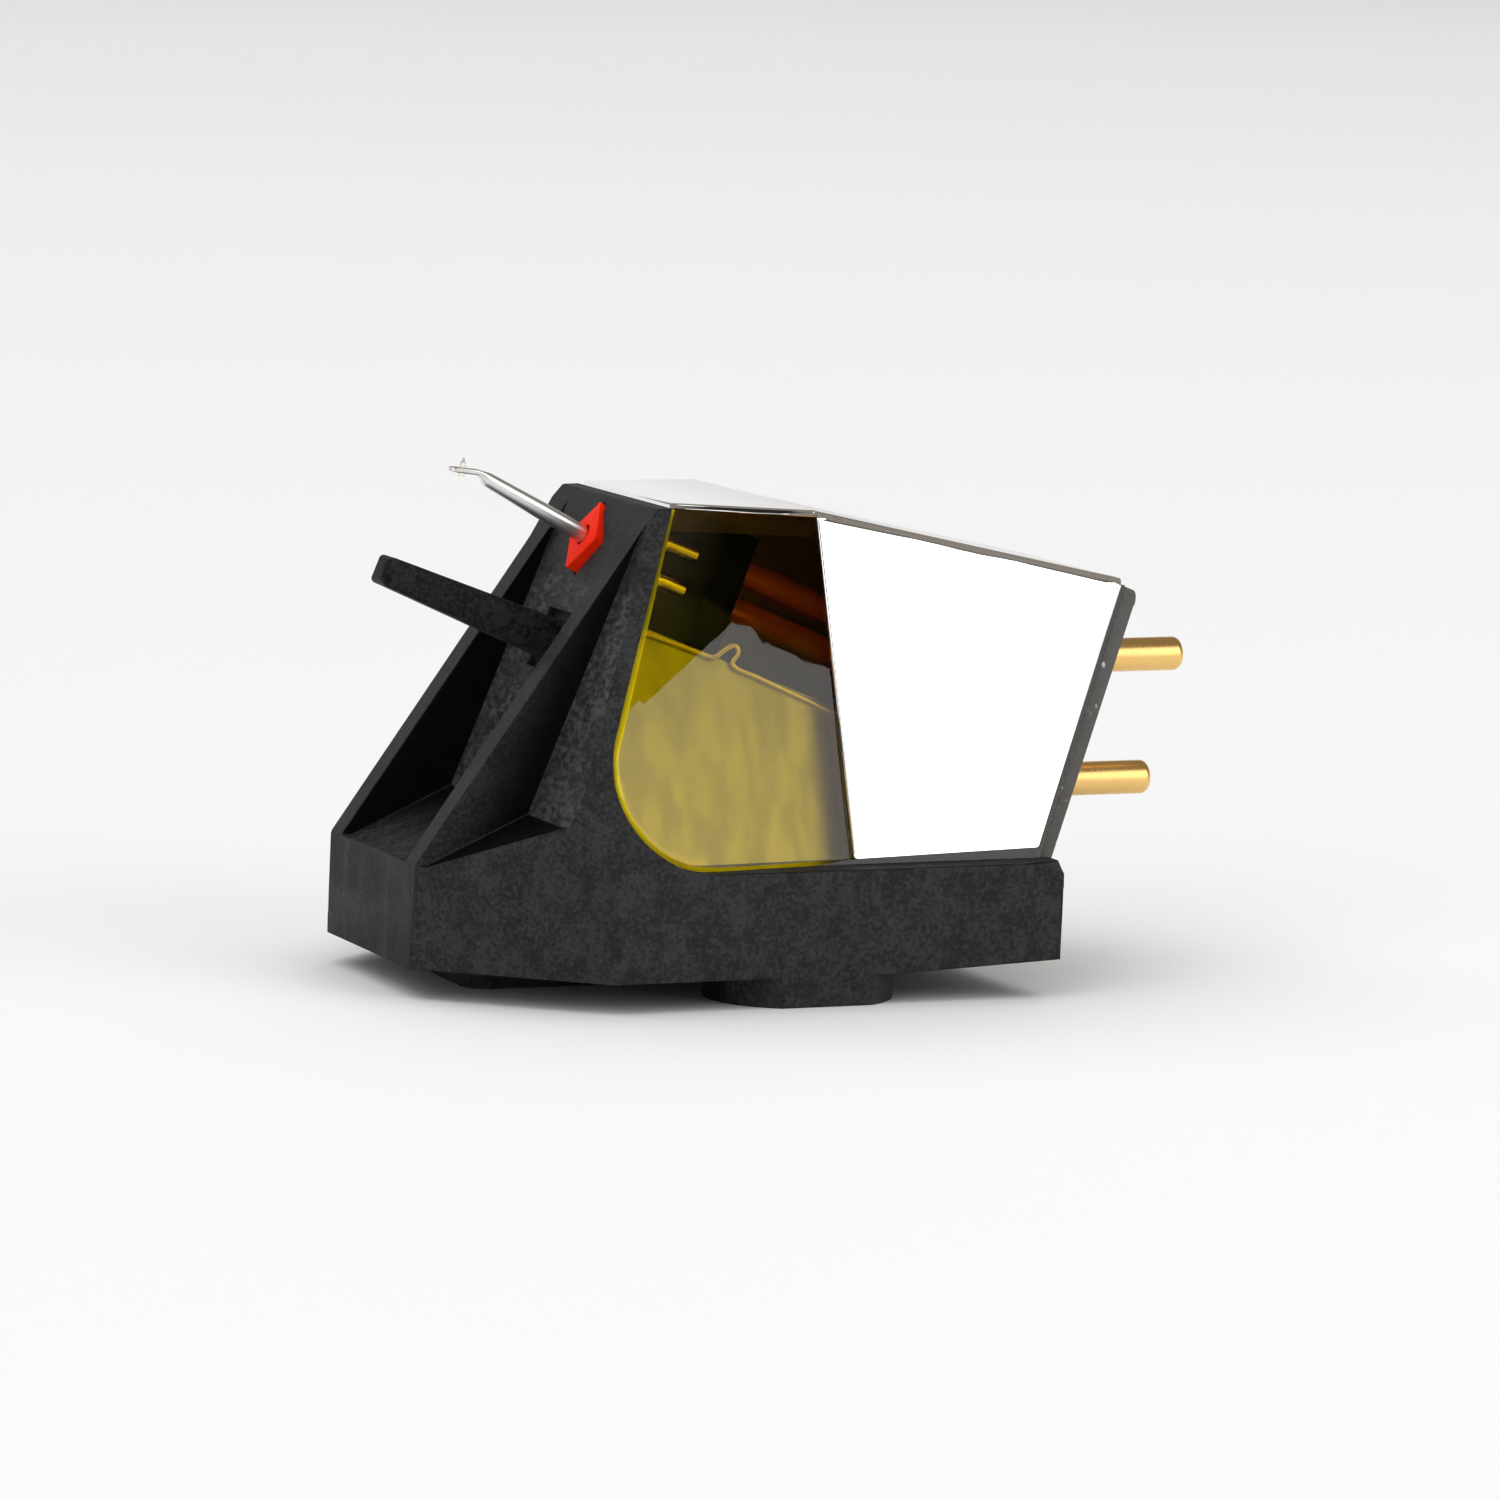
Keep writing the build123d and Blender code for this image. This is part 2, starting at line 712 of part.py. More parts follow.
with BuildPart() as fine_wires:
    with BuildSketch(damper_plane.offset(-wall_thickness)):
        with Locations(*wire_places):
            Circle(fine_wire_radius)
    extrude(amount=wall_thickness - fine_wire_end)
    with BuildSketch(damper_plane.offset(-fine_wire_bead_at)):
        with Locations(*wire_places):
            Circle(fine_wire_bead)
    extrude(amount=-fine_wire_bead_length)
fine_wires.part.label = "fine_wires"
export_step(fine_wires.part, "parts/fine_wires.step")


# Guard finger, square to the breast wall, with a tenon through the bottom of its socket
with BuildPart() as guard_finger:
    with BuildSketch(finger_plane.offset(-finger_socket_depth)):
        Rectangle(finger_root_width, finger_root_height)
    with BuildSketch(finger_plane.offset(finger_length)):
        Rectangle(finger_tip_width, finger_tip_height)
    loft()
    fillet(guard_finger.faces().sort_by(Axis.X)[0].edges(), finger_round)
    with BuildSketch(finger_plane.offset(-wall_thickness)):
        Rectangle(finger_tenon, finger_tenon)
    extrude(amount=wall_thickness - finger_socket_depth)
guard_finger.part.label = "guard_finger"
export_step(guard_finger.part, "parts/guard_finger.step")
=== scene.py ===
# %% [markdown]
# A moving-coil phono cartridge lies upside down on its fixing pads, the way it comes out of its box.
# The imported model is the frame: every piece below is placed from it, in metres, and never moves it.
# The lesson goes from the outside in: camera, light, finishes, the moulded body, the bright sheet,
# the pins, the moving system, and last the generator that shows through the amber window.

# %% Load the frame
from math import cos, hypot, pi, radians, sin, tan

import bmesh
import bpy
from mathutils import Matrix, Vector
from mathutils.bvhtree import BVHTree


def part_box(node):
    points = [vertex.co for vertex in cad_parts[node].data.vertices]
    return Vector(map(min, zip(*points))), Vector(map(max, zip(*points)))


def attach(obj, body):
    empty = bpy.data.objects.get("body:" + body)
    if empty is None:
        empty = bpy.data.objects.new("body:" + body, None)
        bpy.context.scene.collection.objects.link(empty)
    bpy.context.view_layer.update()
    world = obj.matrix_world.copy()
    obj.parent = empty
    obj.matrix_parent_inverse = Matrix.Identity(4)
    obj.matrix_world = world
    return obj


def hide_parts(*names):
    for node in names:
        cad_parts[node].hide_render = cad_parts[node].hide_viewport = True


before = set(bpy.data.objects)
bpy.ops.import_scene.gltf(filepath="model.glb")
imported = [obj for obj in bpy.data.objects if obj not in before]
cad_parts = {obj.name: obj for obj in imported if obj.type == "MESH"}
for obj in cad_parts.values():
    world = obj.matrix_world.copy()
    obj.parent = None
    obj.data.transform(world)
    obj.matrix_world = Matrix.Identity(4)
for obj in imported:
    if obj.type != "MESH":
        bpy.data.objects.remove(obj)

MM = 0.001
scene = bpy.context.scene
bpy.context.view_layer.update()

# %% [markdown]
# The camera is a long lens a hand's width away, a little to the nose side and just above the table.
# Its place was worked out from edges whose real sizes are known, so the picture lines up with the CAD.
# A matrix built from three directions is clearer here than rotation angles, because the roll is small.

# %% Photo camera
PHOTO_PX = 1500
FOCAL_PX = 8381.34
SENSOR_MM = 36.0
aim = Vector((0.73, 0.0, 6.91)) * MM
camera_distance = 266.94 * MM
camera_turn, camera_rise, camera_roll = radians(21.0), radians(7.04), radians(0.93)

back = Vector((-sin(camera_turn) * cos(camera_rise), -cos(camera_turn) * cos(camera_rise), sin(camera_rise)))
level = Vector((cos(camera_turn), -sin(camera_turn), 0.0))
plumb = back.cross(level)
right = level * cos(camera_roll) + plumb * sin(camera_roll)
upward = plumb * cos(camera_roll) - level * sin(camera_roll)

lens = bpy.data.cameras.new("photo_camera")
lens.sensor_width = SENSOR_MM
lens.lens = SENSOR_MM * FOCAL_PX / PHOTO_PX
lens.clip_start = 0.01
camera = bpy.data.objects.new("photo_camera", lens)
turned_to_aim = Matrix((right, upward, back)).transposed().to_4x4()
camera.matrix_world = Matrix.Translation(aim + back * camera_distance) @ turned_to_aim
scene.collection.objects.link(camera)
scene.camera = camera
print("camera at", [round(v, 3) for v in camera.matrix_world.translation], "lens", round(lens.lens, 1), "mm")

# %% [markdown]
# Four soft sources light the table. A softbox hangs, a little rolled, to the right of the camera: its
# upper left corner is the peak mirrored in the amber window, and it turns the polished side sheet white.
# A wide ceiling panel fills from above and makes the contact shadow, a panel behind keeps the far part
# of the table as pale as the near part, and a weak card on the left opens up the nose and the damper.
# Only the softbox and the card are seen in mirrors.

# %% Softboxes
def softbox(name, azimuth, elevation, distance, width, height, radiance, roll=0.0, shift=(0.0, 0.0)):
    """A rectangular area light that faces the object from a compass direction and a height angle.
    It may be rolled about its own axis, and shifted sideways and upwards in its own plane."""
    a, e = radians(azimuth), radians(elevation)
    away = Vector((sin(a) * cos(e), -cos(a) * cos(e), sin(e)))
    lamp = bpy.data.lights.new(name, "AREA")
    lamp.shape = "RECTANGLE"
    lamp.size, lamp.size_y = width, height
    lamp.energy = 4.0 * width * height * radiance
    box = bpy.data.objects.new(name, lamp)
    facing = Matrix.Translation(aim + away * distance) @ away.to_track_quat("Z", "Y").to_matrix().to_4x4()
    box.matrix_world = facing @ Matrix.Translation((*shift, 0.0)) @ Matrix.Rotation(radians(roll), 4, "Z")
    scene.collection.objects.link(box)
    return box


softbox("key_softbox", 39.0, 13.5, 0.5, 0.40, 0.38, 1.7, roll=16.0, shift=(0.0186, 0.0725))
softbox("fill_card", -52.0, 24.0, 0.9, 0.7, 0.7, 1.4)
softbox("ceiling_panel", 180.0, 80.0, 1.2, 2.2, 2.2, 1.12).visible_glossy = False
softbox("table_panel", 180.0, 42.0, 1.3, 1.8, 0.8, 0.33).visible_glossy = False

# %% [markdown]
# The world is a plain pale studio. The camera sees it as an even pale wall. Glass and metal see that wall
# behind the object, a grey ceiling overhead and a dim room on the camera's side: that is why the upper
# half of the real window shows a dark inside and no veil of reflected light.

# %% World
PALE = (0.88, 0.88, 0.88, 1.0)
AMBIENT = (0.13, 0.13, 0.132, 1.0)
DIM_ROOM = (0.02, 0.02, 0.02, 1.0)
CEILING = (0.27, 0.245, 0.215, 1.0)

scene.view_settings.view_transform = "Standard"
world = bpy.data.worlds.new("pale_studio")
scene.world = world
world.use_nodes = True


def add(tree, kind, **values):
    """A new node; values that name an input set it, and others set the node's own properties."""
    made = tree.nodes.new(kind)
    for key, value in values.items():
        if key in made.inputs:
            made.inputs[key].default_value = value
        else:
            setattr(made, key, value)
    return made


def mix_colour(tree, factor, first, second):
    """A colour mix whose three inputs are sockets or plain values; gives back its output socket."""
    made = add(tree, "ShaderNodeMix", data_type="RGBA")
    for index, value in ((0, factor), (6, first), (7, second)):
        if isinstance(value, bpy.types.NodeSocket):
            tree.links.new(value, made.inputs[index])
        else:
            made.inputs[index].default_value = value
    return made.outputs[2]


def math_node(tree, operation, *values):
    """A Math node on sockets or plain numbers; gives back its output socket."""
    made = add(tree, "ShaderNodeMath", operation=operation)
    for slot, value in zip(made.inputs, values):
        if isinstance(value, bpy.types.NodeSocket):
            tree.links.new(value, slot)
        else:
            slot.default_value = value
    return made.outputs[0]


def ramp(tree, value, low, high, first=0.0, second=1.0):
    """A smooth step of a socket from one range into another."""
    made = add(tree, "ShaderNodeMapRange", interpolation_type="SMOOTHSTEP")
    tree.links.new(value, made.inputs["Value"])
    for key, number in (("From Min", low), ("From Max", high), ("To Min", first), ("To Max", second)):
        made.inputs[key].default_value = number
    return made.outputs["Result"]


def product(tree, first, second):
    """Two sockets or numbers multiplied."""
    return math_node(tree, "MULTIPLY", first, second)


sky = world.node_tree
sky.nodes.clear()
sky_out = add(sky, "ShaderNodeOutputWorld")
sky_light = add(sky, "ShaderNodeBackground")
sky_path = add(sky, "ShaderNodeLightPath")
sky_way = add(sky, "ShaderNodeSeparateXYZ")
sky.links.new(add(sky, "ShaderNodeTexCoord").outputs["Generated"], sky_way.inputs[0])
camera_side = mix_colour(sky, ramp(sky, sky_way.outputs["Z"], 0.62, 0.82), DIM_ROOM, CEILING)
behind = mix_colour(sky, ramp(sky, sky_way.outputs["Z"], 0.2, 0.45), PALE, CEILING)
mirrored = mix_colour(sky, ramp(sky, sky_way.outputs["Y"], -0.2, 0.3), camera_side, behind)
clear = math_node(sky, "MAXIMUM", sky_path.outputs["Is Glossy Ray"], sky_path.outputs["Is Transmission Ray"])
lit = mix_colour(sky, clear, AMBIENT, mirrored)
sky.links.new(mix_colour(sky, sky_path.outputs["Is Camera Ray"], lit, PALE), sky_light.inputs["Color"])
sky.links.new(sky_light.outputs[0], sky_out.inputs["Surface"])
print("world nodes:", len(sky.nodes))

# %% [markdown]
# The table is one large disc in matt pale grey. It belongs to the stage, not to the part.

# %% Table
FLOOR_RADIUS = 3.0
FLOOR_SIDES = 96


def new_object(name, mesh):
    """A mesh object at the origin, linked into the scene."""
    made = bpy.data.objects.new(name, mesh)
    scene.collection.objects.link(made)
    return made


def bmesh_object(name, shape):
    """A mesh object from a bmesh, which is freed."""
    mesh = bpy.data.meshes.new(name)
    shape.to_mesh(mesh)
    shape.free()
    return new_object(name, mesh)


disc = bmesh.new()
bmesh.ops.create_circle(disc, cap_ends=True, segments=FLOOR_SIDES, radius=FLOOR_RADIUS)
table = bmesh_object("table", disc)


def finish(name, colour, metallic=0.0, roughness=0.5, **more):
    """A material with one Principled shader; gives back the material, its tree and the shader."""
    made = bpy.data.materials.new(name)
    made.use_nodes = True
    shader = made.node_tree.nodes["Principled BSDF"]
    shader.inputs["Base Color"].default_value = (*colour, 1.0)
    shader.inputs["Metallic"].default_value = metallic
    shader.inputs["Roughness"].default_value = roughness
    for key, value in more.items():
        shader.inputs[key].default_value = value
    return made, made.node_tree, shader


table_paint, _, _ = finish("table_paint", (0.86, 0.86, 0.86), roughness=0.75)
table.data.materials.append(table_paint)
print("table:", len(table.data.polygons), "face")

# %% [markdown]
# Two effects are shared by several finishes, so each is a shader node group that is built once.
# "grain" is the fine unevenness of a moulded or satin surface, at two scales, with rare light specks.
# "streaks" is the faint directional marking that drawing, rolling or grinding leaves in metal.
# Both read Object coordinates in metres, so their scales are features per metre.

# %% Shared effects
def new_group(name, inputs, outputs):
    """An empty shader group with float inputs and outputs; gives back the tree and its two end nodes."""
    tree = bpy.data.node_groups.new(name, "ShaderNodeTree")
    for label, value in inputs.items():
        tree.interface.new_socket(label, in_out="INPUT", socket_type="NodeSocketFloat").default_value = value
    for label in outputs:
        tree.interface.new_socket(label, in_out="OUTPUT", socket_type="NodeSocketFloat")
    return tree, add(tree, "NodeGroupInput"), add(tree, "NodeGroupOutput")


def noise(tree, scale, detail=2.0, distortion=0.0, vector=None):
    """A noise texture on Object coordinates or on a vector; gives back its value."""
    made = add(tree, "ShaderNodeTexNoise", Detail=detail, Distortion=distortion)
    if vector is None:
        vector = add(tree, "ShaderNodeTexCoord").outputs["Object"]
    tree.links.new(vector, made.inputs["Vector"])
    if isinstance(scale, bpy.types.NodeSocket):
        tree.links.new(scale, made.inputs["Scale"])
    else:
        made.inputs["Scale"].default_value = scale
    return made.outputs["Fac"]


grain, grain_in, grain_out = new_group("grain", {"Scale": 9000.0}, ("Tone", "Speck", "Height"))
fine_scale = math_node(grain, "MULTIPLY", grain_in.outputs["Scale"], 3.2)
broad_scale = math_node(grain, "MULTIPLY", grain_in.outputs["Scale"], 0.11)
coarse = noise(grain, grain_in.outputs["Scale"], detail=3.0)
fine = noise(grain, fine_scale, detail=2.0)
broad = noise(grain, broad_scale, detail=4.0, distortion=1.2)
tone = math_node(grain, "ADD", product(grain, coarse, 0.55), product(grain, broad, 0.45))
speck = ramp(grain, product(grain, fine, ramp(grain, coarse, 0.42, 0.66, 0.8, 1.1)), 0.62, 0.80)
height = math_node(grain, "ADD", product(grain, coarse, 0.7), product(grain, fine, 0.3))
for label, socket in (("Tone", tone), ("Speck", speck), ("Height", height)):
    grain.links.new(socket, grain_out.inputs[label])

streaks, streak_in, streak_out = new_group(
    "streaks", {"Along X": 300.0, "Along Y": 9000.0, "Along Z": 9000.0}, ("Tone",)
)
stretch = add(streaks, "ShaderNodeCombineXYZ")
for axis in "XYZ":
    streaks.links.new(streak_in.outputs[f"Along {axis}"], stretch.inputs[axis])
stretched = add(streaks, "ShaderNodeVectorMath", operation="MULTIPLY")
streaks.links.new(add(streaks, "ShaderNodeTexCoord").outputs["Object"], stretched.inputs[0])
streaks.links.new(stretch.outputs[0], stretched.inputs[1])
streaks.links.new(noise(streaks, 1.0, detail=3.0, vector=stretched.outputs[0]), streak_out.inputs["Tone"])


def place(tree, group, **values):
    """A group node with its own values for the named inputs (underscores stand for spaces)."""
    made = add(tree, "ShaderNodeGroup")
    made.node_tree = group
    for key, value in values.items():
        made.inputs[key.replace("_", " ")].default_value = value
    return made


def bump(tree, shader, height, distance, strength):
    """Small relief from a height socket, into the shader's normal."""
    made = add(tree, "ShaderNodeBump", Strength=strength, Distance=distance)
    tree.links.new(height, made.inputs["Height"])
    tree.links.new(made.outputs[0], shader.inputs["Normal"])


def object_xyz(tree):
    """The Object coordinates, split in three."""
    made = add(tree, "ShaderNodeSeparateXYZ")
    tree.links.new(add(tree, "ShaderNodeTexCoord").outputs["Object"], made.inputs[0])
    return made.outputs


def face_xyz(tree):
    """The way the face points, split in three."""
    made = add(tree, "ShaderNodeSeparateXYZ")
    tree.links.new(add(tree, "ShaderNodeNewGeometry").outputs["True Normal"], made.inputs[0])
    return made.outputs


print("groups:", [g.name for g in bpy.data.node_groups])

# %% [markdown]
# The body and the finger are moulded in black glass-filled plastic. It isn't one flat black: fibres
# show as tiny light specks, and the breast wall, which the mould leaves rougher, carries paler
# patches below the damper. The sides of the ribs and the floors between them get painted shade: they go
# to a deeper black towards the wall, where the ribs keep the light out. The wall is found by its plane, so
# all this stays in place from any side. The nose has broad upright smears. The finger is a copy of this
# finish, darker and without the painted shade.

# %% Black plastic
WALL_FOOT = Vector((-8.2, 0.0, 5.7)) * MM
WALL_ANGLE = radians(67.42)
wall_out = Vector((-sin(WALL_ANGLE), 0.0, cos(WALL_ANGLE)))
wall_along = Vector((cos(WALL_ANGLE), 0.0, sin(WALL_ANGLE)))
wall_run = 1.0 / tan(WALL_ANGLE)
PATCH_TOP = 13.3 * MM
SHADE_REACH = 2.6 * MM
RIB_INSIDE, RIB_OUTSIDE = 3.2 * MM, 4.15 * MM
RIB_FOOT, NOSE_TOP = 4.2 * MM, 4.6 * MM
DARK_TONE, PALE_TONE = (0.0135, 0.0135, 0.0139, 1), (0.0355, 0.0358, 0.0365, 1)
FINGER_TONES = ((0.004, 0.004, 0.004, 1), (0.02, 0.0195, 0.019, 1))


def wall_distance(tree):
    """How far a point lies in front of the breast wall's face, as a socket."""
    place_here = add(tree, "ShaderNodeVectorMath", operation="SUBTRACT")
    place_here.inputs[1].default_value = WALL_FOOT
    tree.links.new(add(tree, "ShaderNodeTexCoord").outputs["Object"], place_here.inputs[0])
    made = add(tree, "ShaderNodeVectorMath", operation="DOT_PRODUCT")
    made.inputs[1].default_value = wall_out
    tree.links.new(place_here.outputs[0], made.inputs[0])
    return made.outputs["Value"]


black_plastic, tree, shader = finish("black_plastic", (0.01, 0.01, 0.01), roughness=0.6)
mould = place(tree, grain, Scale=8000.0)
spot = object_xyz(tree)
faced = face_xyz(tree)
to_wall = wall_distance(tree)
off_middle = math_node(tree, "ABSOLUTE", spot["Y"])

near_wall = ramp(tree, math_node(tree, "ABSOLUTE", to_wall), 0.02 * MM, 0.05 * MM, 1.0, 0.0)
above_foot = ramp(tree, spot["Z"], WALL_FOOT.z - 0.1 * MM, WALL_FOOT.z + 0.05 * MM)
below = ramp(tree, spot["Z"], PATCH_TOP - 1.2 * MM, PATCH_TOP, 1.0, 0.0)
lumps = add(tree, "ShaderNodeVectorMath", operation="MULTIPLY")
lumps.inputs[1].default_value = (1.0, 0.45, 1.0)
tree.links.new(add(tree, "ShaderNodeTexCoord").outputs["Object"], lumps.inputs[0])
small_lumps = ramp(tree, noise(tree, 5200.0, 4.0, vector=lumps.outputs[0]), 0.38, 0.68)
large_lumps = ramp(tree, noise(tree, 900.0, 2.0, vector=lumps.outputs[0]), 0.32, 0.6, 0.25, 1.0)
patches = product(tree, near_wall, product(tree, above_foot, below))
patches = product(tree, patches, product(tree, small_lumps, large_lumps))

before_wall = ramp(tree, to_wall, 0.0, 0.06 * MM)
# Painted shade: the sides of the ribs and the floors between them darken to near black towards the wall,
# where the ribs keep the light out.
shade_towards_wall = product(tree, ramp(tree, to_wall, 0.3 * MM, SHADE_REACH, 1.0, 0.0), before_wall)
in_channel = ramp(tree, off_middle, RIB_INSIDE, RIB_INSIDE + 0.1 * MM, 1.0, 0.0)
recess = math_node(tree, "MAXIMUM", shade_towards_wall, product(tree, in_channel, before_wall))
between_ribs = ramp(tree, off_middle, RIB_OUTSIDE + 0.15 * MM, RIB_OUTSIDE + 0.2 * MM, 1.0, 0.0)
on_rib = product(tree, between_ribs, ramp(tree, spot["Z"], RIB_FOOT - 0.2 * MM, RIB_FOOT))
sideways = ramp(tree, math_node(tree, "ABSOLUTE", faced["Y"]), 0.7, 0.85)
recess = product(tree, product(tree, sideways, on_rib), recess)
sloped = math_node(tree, "SUBTRACT", ramp(tree, faced["Z"], 0.84, 0.88), ramp(tree, faced["Z"], 0.94, 0.97))
in_pocket = ramp(tree, off_middle, RIB_OUTSIDE, RIB_OUTSIDE + 0.1 * MM)
shaded_floor = product(tree, sloped, math_node(tree, "MAXIMUM", in_pocket, shade_towards_wall))
recess = math_node(tree, "MAXIMUM", recess, shaded_floor)

colour = mix_colour(tree, ramp(tree, mould.outputs["Tone"], 0.38, 0.62), DARK_TONE, PALE_TONE)
colour.node.name = "two_tones"
colour = mix_colour(tree, product(tree, mould.outputs["Speck"], 0.4), colour, (0.09, 0.091, 0.095, 1))
colour = mix_colour(tree, product(tree, patches, 0.75), colour, (0.085, 0.087, 0.092, 1))
smears = place(tree, streaks, Along_X=700.0, Along_Y=800.0, Along_Z=110.0).outputs["Tone"]
below_lip = ramp(tree, spot["Z"], NOSE_TOP, NOSE_TOP + 0.2 * MM, 1.0, 0.0)
nose = product(tree, ramp(tree, faced["X"], -0.97, -0.9, 1.0, 0.0), below_lip)
dragged = mix_colour(tree, ramp(tree, smears, 0.45, 0.75), (0.009, 0.009, 0.0092, 1), (0.032, 0.031, 0.03, 1))
colour = mix_colour(tree, product(tree, nose, 0.8), colour, dragged)
# The painted shade is mixed in here as near black.
colour = mix_colour(tree, product(tree, recess, 0.95), colour, (0.001, 0.001, 0.001, 1))
colour.node.name = "painted_shade_mix"
shader.inputs["Specular IOR Level"].default_value = 0.12
tree.links.new(colour, shader.inputs["Base Color"])
tree.links.new(ramp(tree, mould.outputs["Tone"], 0.3, 0.7, 0.5, 0.68), shader.inputs["Roughness"])
bump(tree, shader, mould.outputs["Height"], 0.02 * MM, 0.6)
print("black plastic:", len(tree.nodes), "nodes")

finger_plastic = black_plastic.copy()
finger_plastic.name = "finger_plastic"
finger_nodes = finger_plastic.node_tree.nodes
for index, tint in zip((6, 7), FINGER_TONES):
    finger_nodes["two_tones"].inputs[index].default_value = tint
# The finger is left without the painted shade.
no_painted_shade = finger_nodes["painted_shade_mix"].inputs[0]
finger_plastic.node_tree.links.remove(no_painted_shade.links[0])
no_painted_shade.default_value = 0.0
print("finger plastic is a copy with", len(finger_nodes), "nodes")

# %% [markdown]
# A CAD edge is perfectly sharp, and a real moulding never is: the small round along each edge is what
# catches the light. A copy of the node's mesh is merged, flat triangles are joined into faces, and a
# Bevel modifier rounds every edge that is sharper than an angle and longer than a set length. The copy
# then stands for the node.

# %% Rounded body and finger
def joined(node):
    """A bmesh of a CAD node with its loose triangles merged and its flat ones joined into faces."""
    shape = bmesh.new()
    shape.from_mesh(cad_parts[node].data)
    bmesh.ops.remove_doubles(shape, verts=shape.verts, dist=0.0005 * MM)
    bmesh.ops.dissolve_limit(shape, angle_limit=radians(0.4), verts=shape.verts, edges=shape.edges)
    return shape


def baked(piece):
    """Turns a piece with modifiers into a plain mesh."""
    graph = bpy.context.evaluated_depsgraph_get()
    mesh = bpy.data.meshes.new_from_object(piece.evaluated_get(graph))
    piece.modifiers.clear()
    piece.data = mesh
    return piece


def dress(piece, body, slot, material, *nodes):
    """Gives a finished piece its material and its body, and hides the nodes it stands for. The slot is not
    used.
    """
    piece.data.materials.clear()
    piece.data.materials.append(material)
    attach(piece, body)
    if nodes:
        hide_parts(*nodes)
    return piece


SHARP_EDGE = radians(30.0)
SHORTEST_ROUND = 0.35 * MM


def rounded_copy(node, name, width, segments=2, reshape=None):
    """A copy of a CAD node with its long sharp edges rounded and its flat faces kept flat."""
    shape = joined(node)
    if reshape:
        reshape(shape)
    weight = shape.edges.layers.float.new("bevel_weight_edge")
    for edge in shape.edges:
        sharp = edge.is_manifold and edge.calc_face_angle() > SHARP_EDGE
        edge[weight] = 1.0 if sharp and edge.calc_length() > SHORTEST_ROUND else 0.0
        edge.smooth = not sharp
    for face in shape.faces:
        face.smooth = True
    piece = bmesh_object(name, shape)
    soften = piece.modifiers.new("edge_round", "BEVEL")
    soften.width = width
    soften.segments = segments
    soften.limit_method = "WEIGHT"
    soften.use_clamp_overlap = False
    soften.harden_normals = True
    baked(piece)
    print(name, "has", len(piece.data.polygons), "faces")
    return piece


moulded_body = rounded_copy("body", "moulded_body", 0.07 * MM)
dress(moulded_body, "housing", "black_plastic", black_plastic, "body")
moulded_finger = rounded_copy("guard_finger", "moulded_finger", 0.07 * MM)
dress(moulded_finger, "housing", "black_plastic", finger_plastic, "guard_finger")

# %% [markdown]
# The screws that hold the cartridge to its headshell cut into threads in the three holes. A thread is a
# ridge along a helix, so Geometry Nodes sweep a small profile along a spiral and set one in each hole.
# The tree reads three points, one per hole, and its sizes are named inputs.

# %% Threads
THREAD_TURNS = 6.5
THREAD_LENGTH = 2.9 * MM
HOLE_RADIUS = 1.05 * MM
RIDGE = 0.11 * MM


def node_tree(name, inputs):
    """A geometry tree with a geometry input and output and named float inputs."""
    made = bpy.data.node_groups.new(name, "GeometryNodeTree")
    made.interface.new_socket("Geometry", in_out="INPUT", socket_type="NodeSocketGeometry")
    made.interface.new_socket("Geometry", in_out="OUTPUT", socket_type="NodeSocketGeometry")
    for label, value in inputs.items():
        socket = made.interface.new_socket(label, in_out="INPUT", socket_type="NodeSocketFloat")
        socket.default_value = value
    return made, add(made, "NodeGroupInput"), add(made, "NodeGroupOutput")


def run_tree(piece, made, values):
    """Runs a geometry tree on a piece with its own sizes, and leaves a plain mesh."""
    modifier = piece.modifiers.new(made.name, "NODES")
    modifier.node_group = made
    for item in made.interface.items_tree:
        if item.in_out == "INPUT" and item.name in values:
            modifier[item.identifier] = values[item.name]
    return baked(piece)


def closing(made, geometry, material, group_out):
    """Ends a tree in Realize Instances and Set Material."""
    real = add(made, "GeometryNodeRealizeInstances")
    painted = add(made, "GeometryNodeSetMaterial")
    painted.inputs["Material"].default_value = material
    made.links.new(geometry, real.inputs[0])
    made.links.new(real.outputs[0], painted.inputs["Geometry"])
    made.links.new(painted.outputs[0], group_out.inputs[0])


thread_tree, thread_in, thread_out = node_tree(
    "thread_ridges", {"Turns": THREAD_TURNS, "Length": THREAD_LENGTH, "Radius": HOLE_RADIUS, "Ridge": RIDGE}
)
helix = add(thread_tree, "GeometryNodeCurveSpiral", Resolution=28)
section = add(thread_tree, "GeometryNodeCurvePrimitiveCircle", Resolution=4)
swept = add(thread_tree, "GeometryNodeCurveToMesh")
in_holes = add(thread_tree, "GeometryNodeInstanceOnPoints")
for label, socket in (
    ("Turns", "Rotations"), ("Length", "Height"), ("Radius", "Start Radius"), ("Radius", "End Radius")
):
    thread_tree.links.new(thread_in.outputs[label], helix.inputs[socket])
thread_tree.links.new(thread_in.outputs["Ridge"], section.inputs["Radius"])
thread_tree.links.new(helix.outputs[0], swept.inputs["Curve"])
thread_tree.links.new(section.outputs[0], swept.inputs["Profile Curve"])
thread_tree.links.new(thread_in.outputs["Geometry"], in_holes.inputs["Points"])
thread_tree.links.new(swept.outputs[0], in_holes.inputs["Instance"])
closing(thread_tree, in_holes.outputs[0], black_plastic, thread_out)

HOLES = ((0.0, 6.35, 0.15), (0.0, -6.35, 0.15), (-6.6, 0.0, 0.15))
hole_points = bpy.data.meshes.new("hole_points")
hole_points.from_pydata([Vector(p) * MM for p in HOLES], [], [])
thread_ridges = run_tree(new_object("thread_ridges", hole_points), thread_tree, {"Turns": THREAD_TURNS})
dress(thread_ridges, "housing", "black_plastic", black_plastic)
print("thread ridges:", len(thread_ridges.data.polygons), "faces")
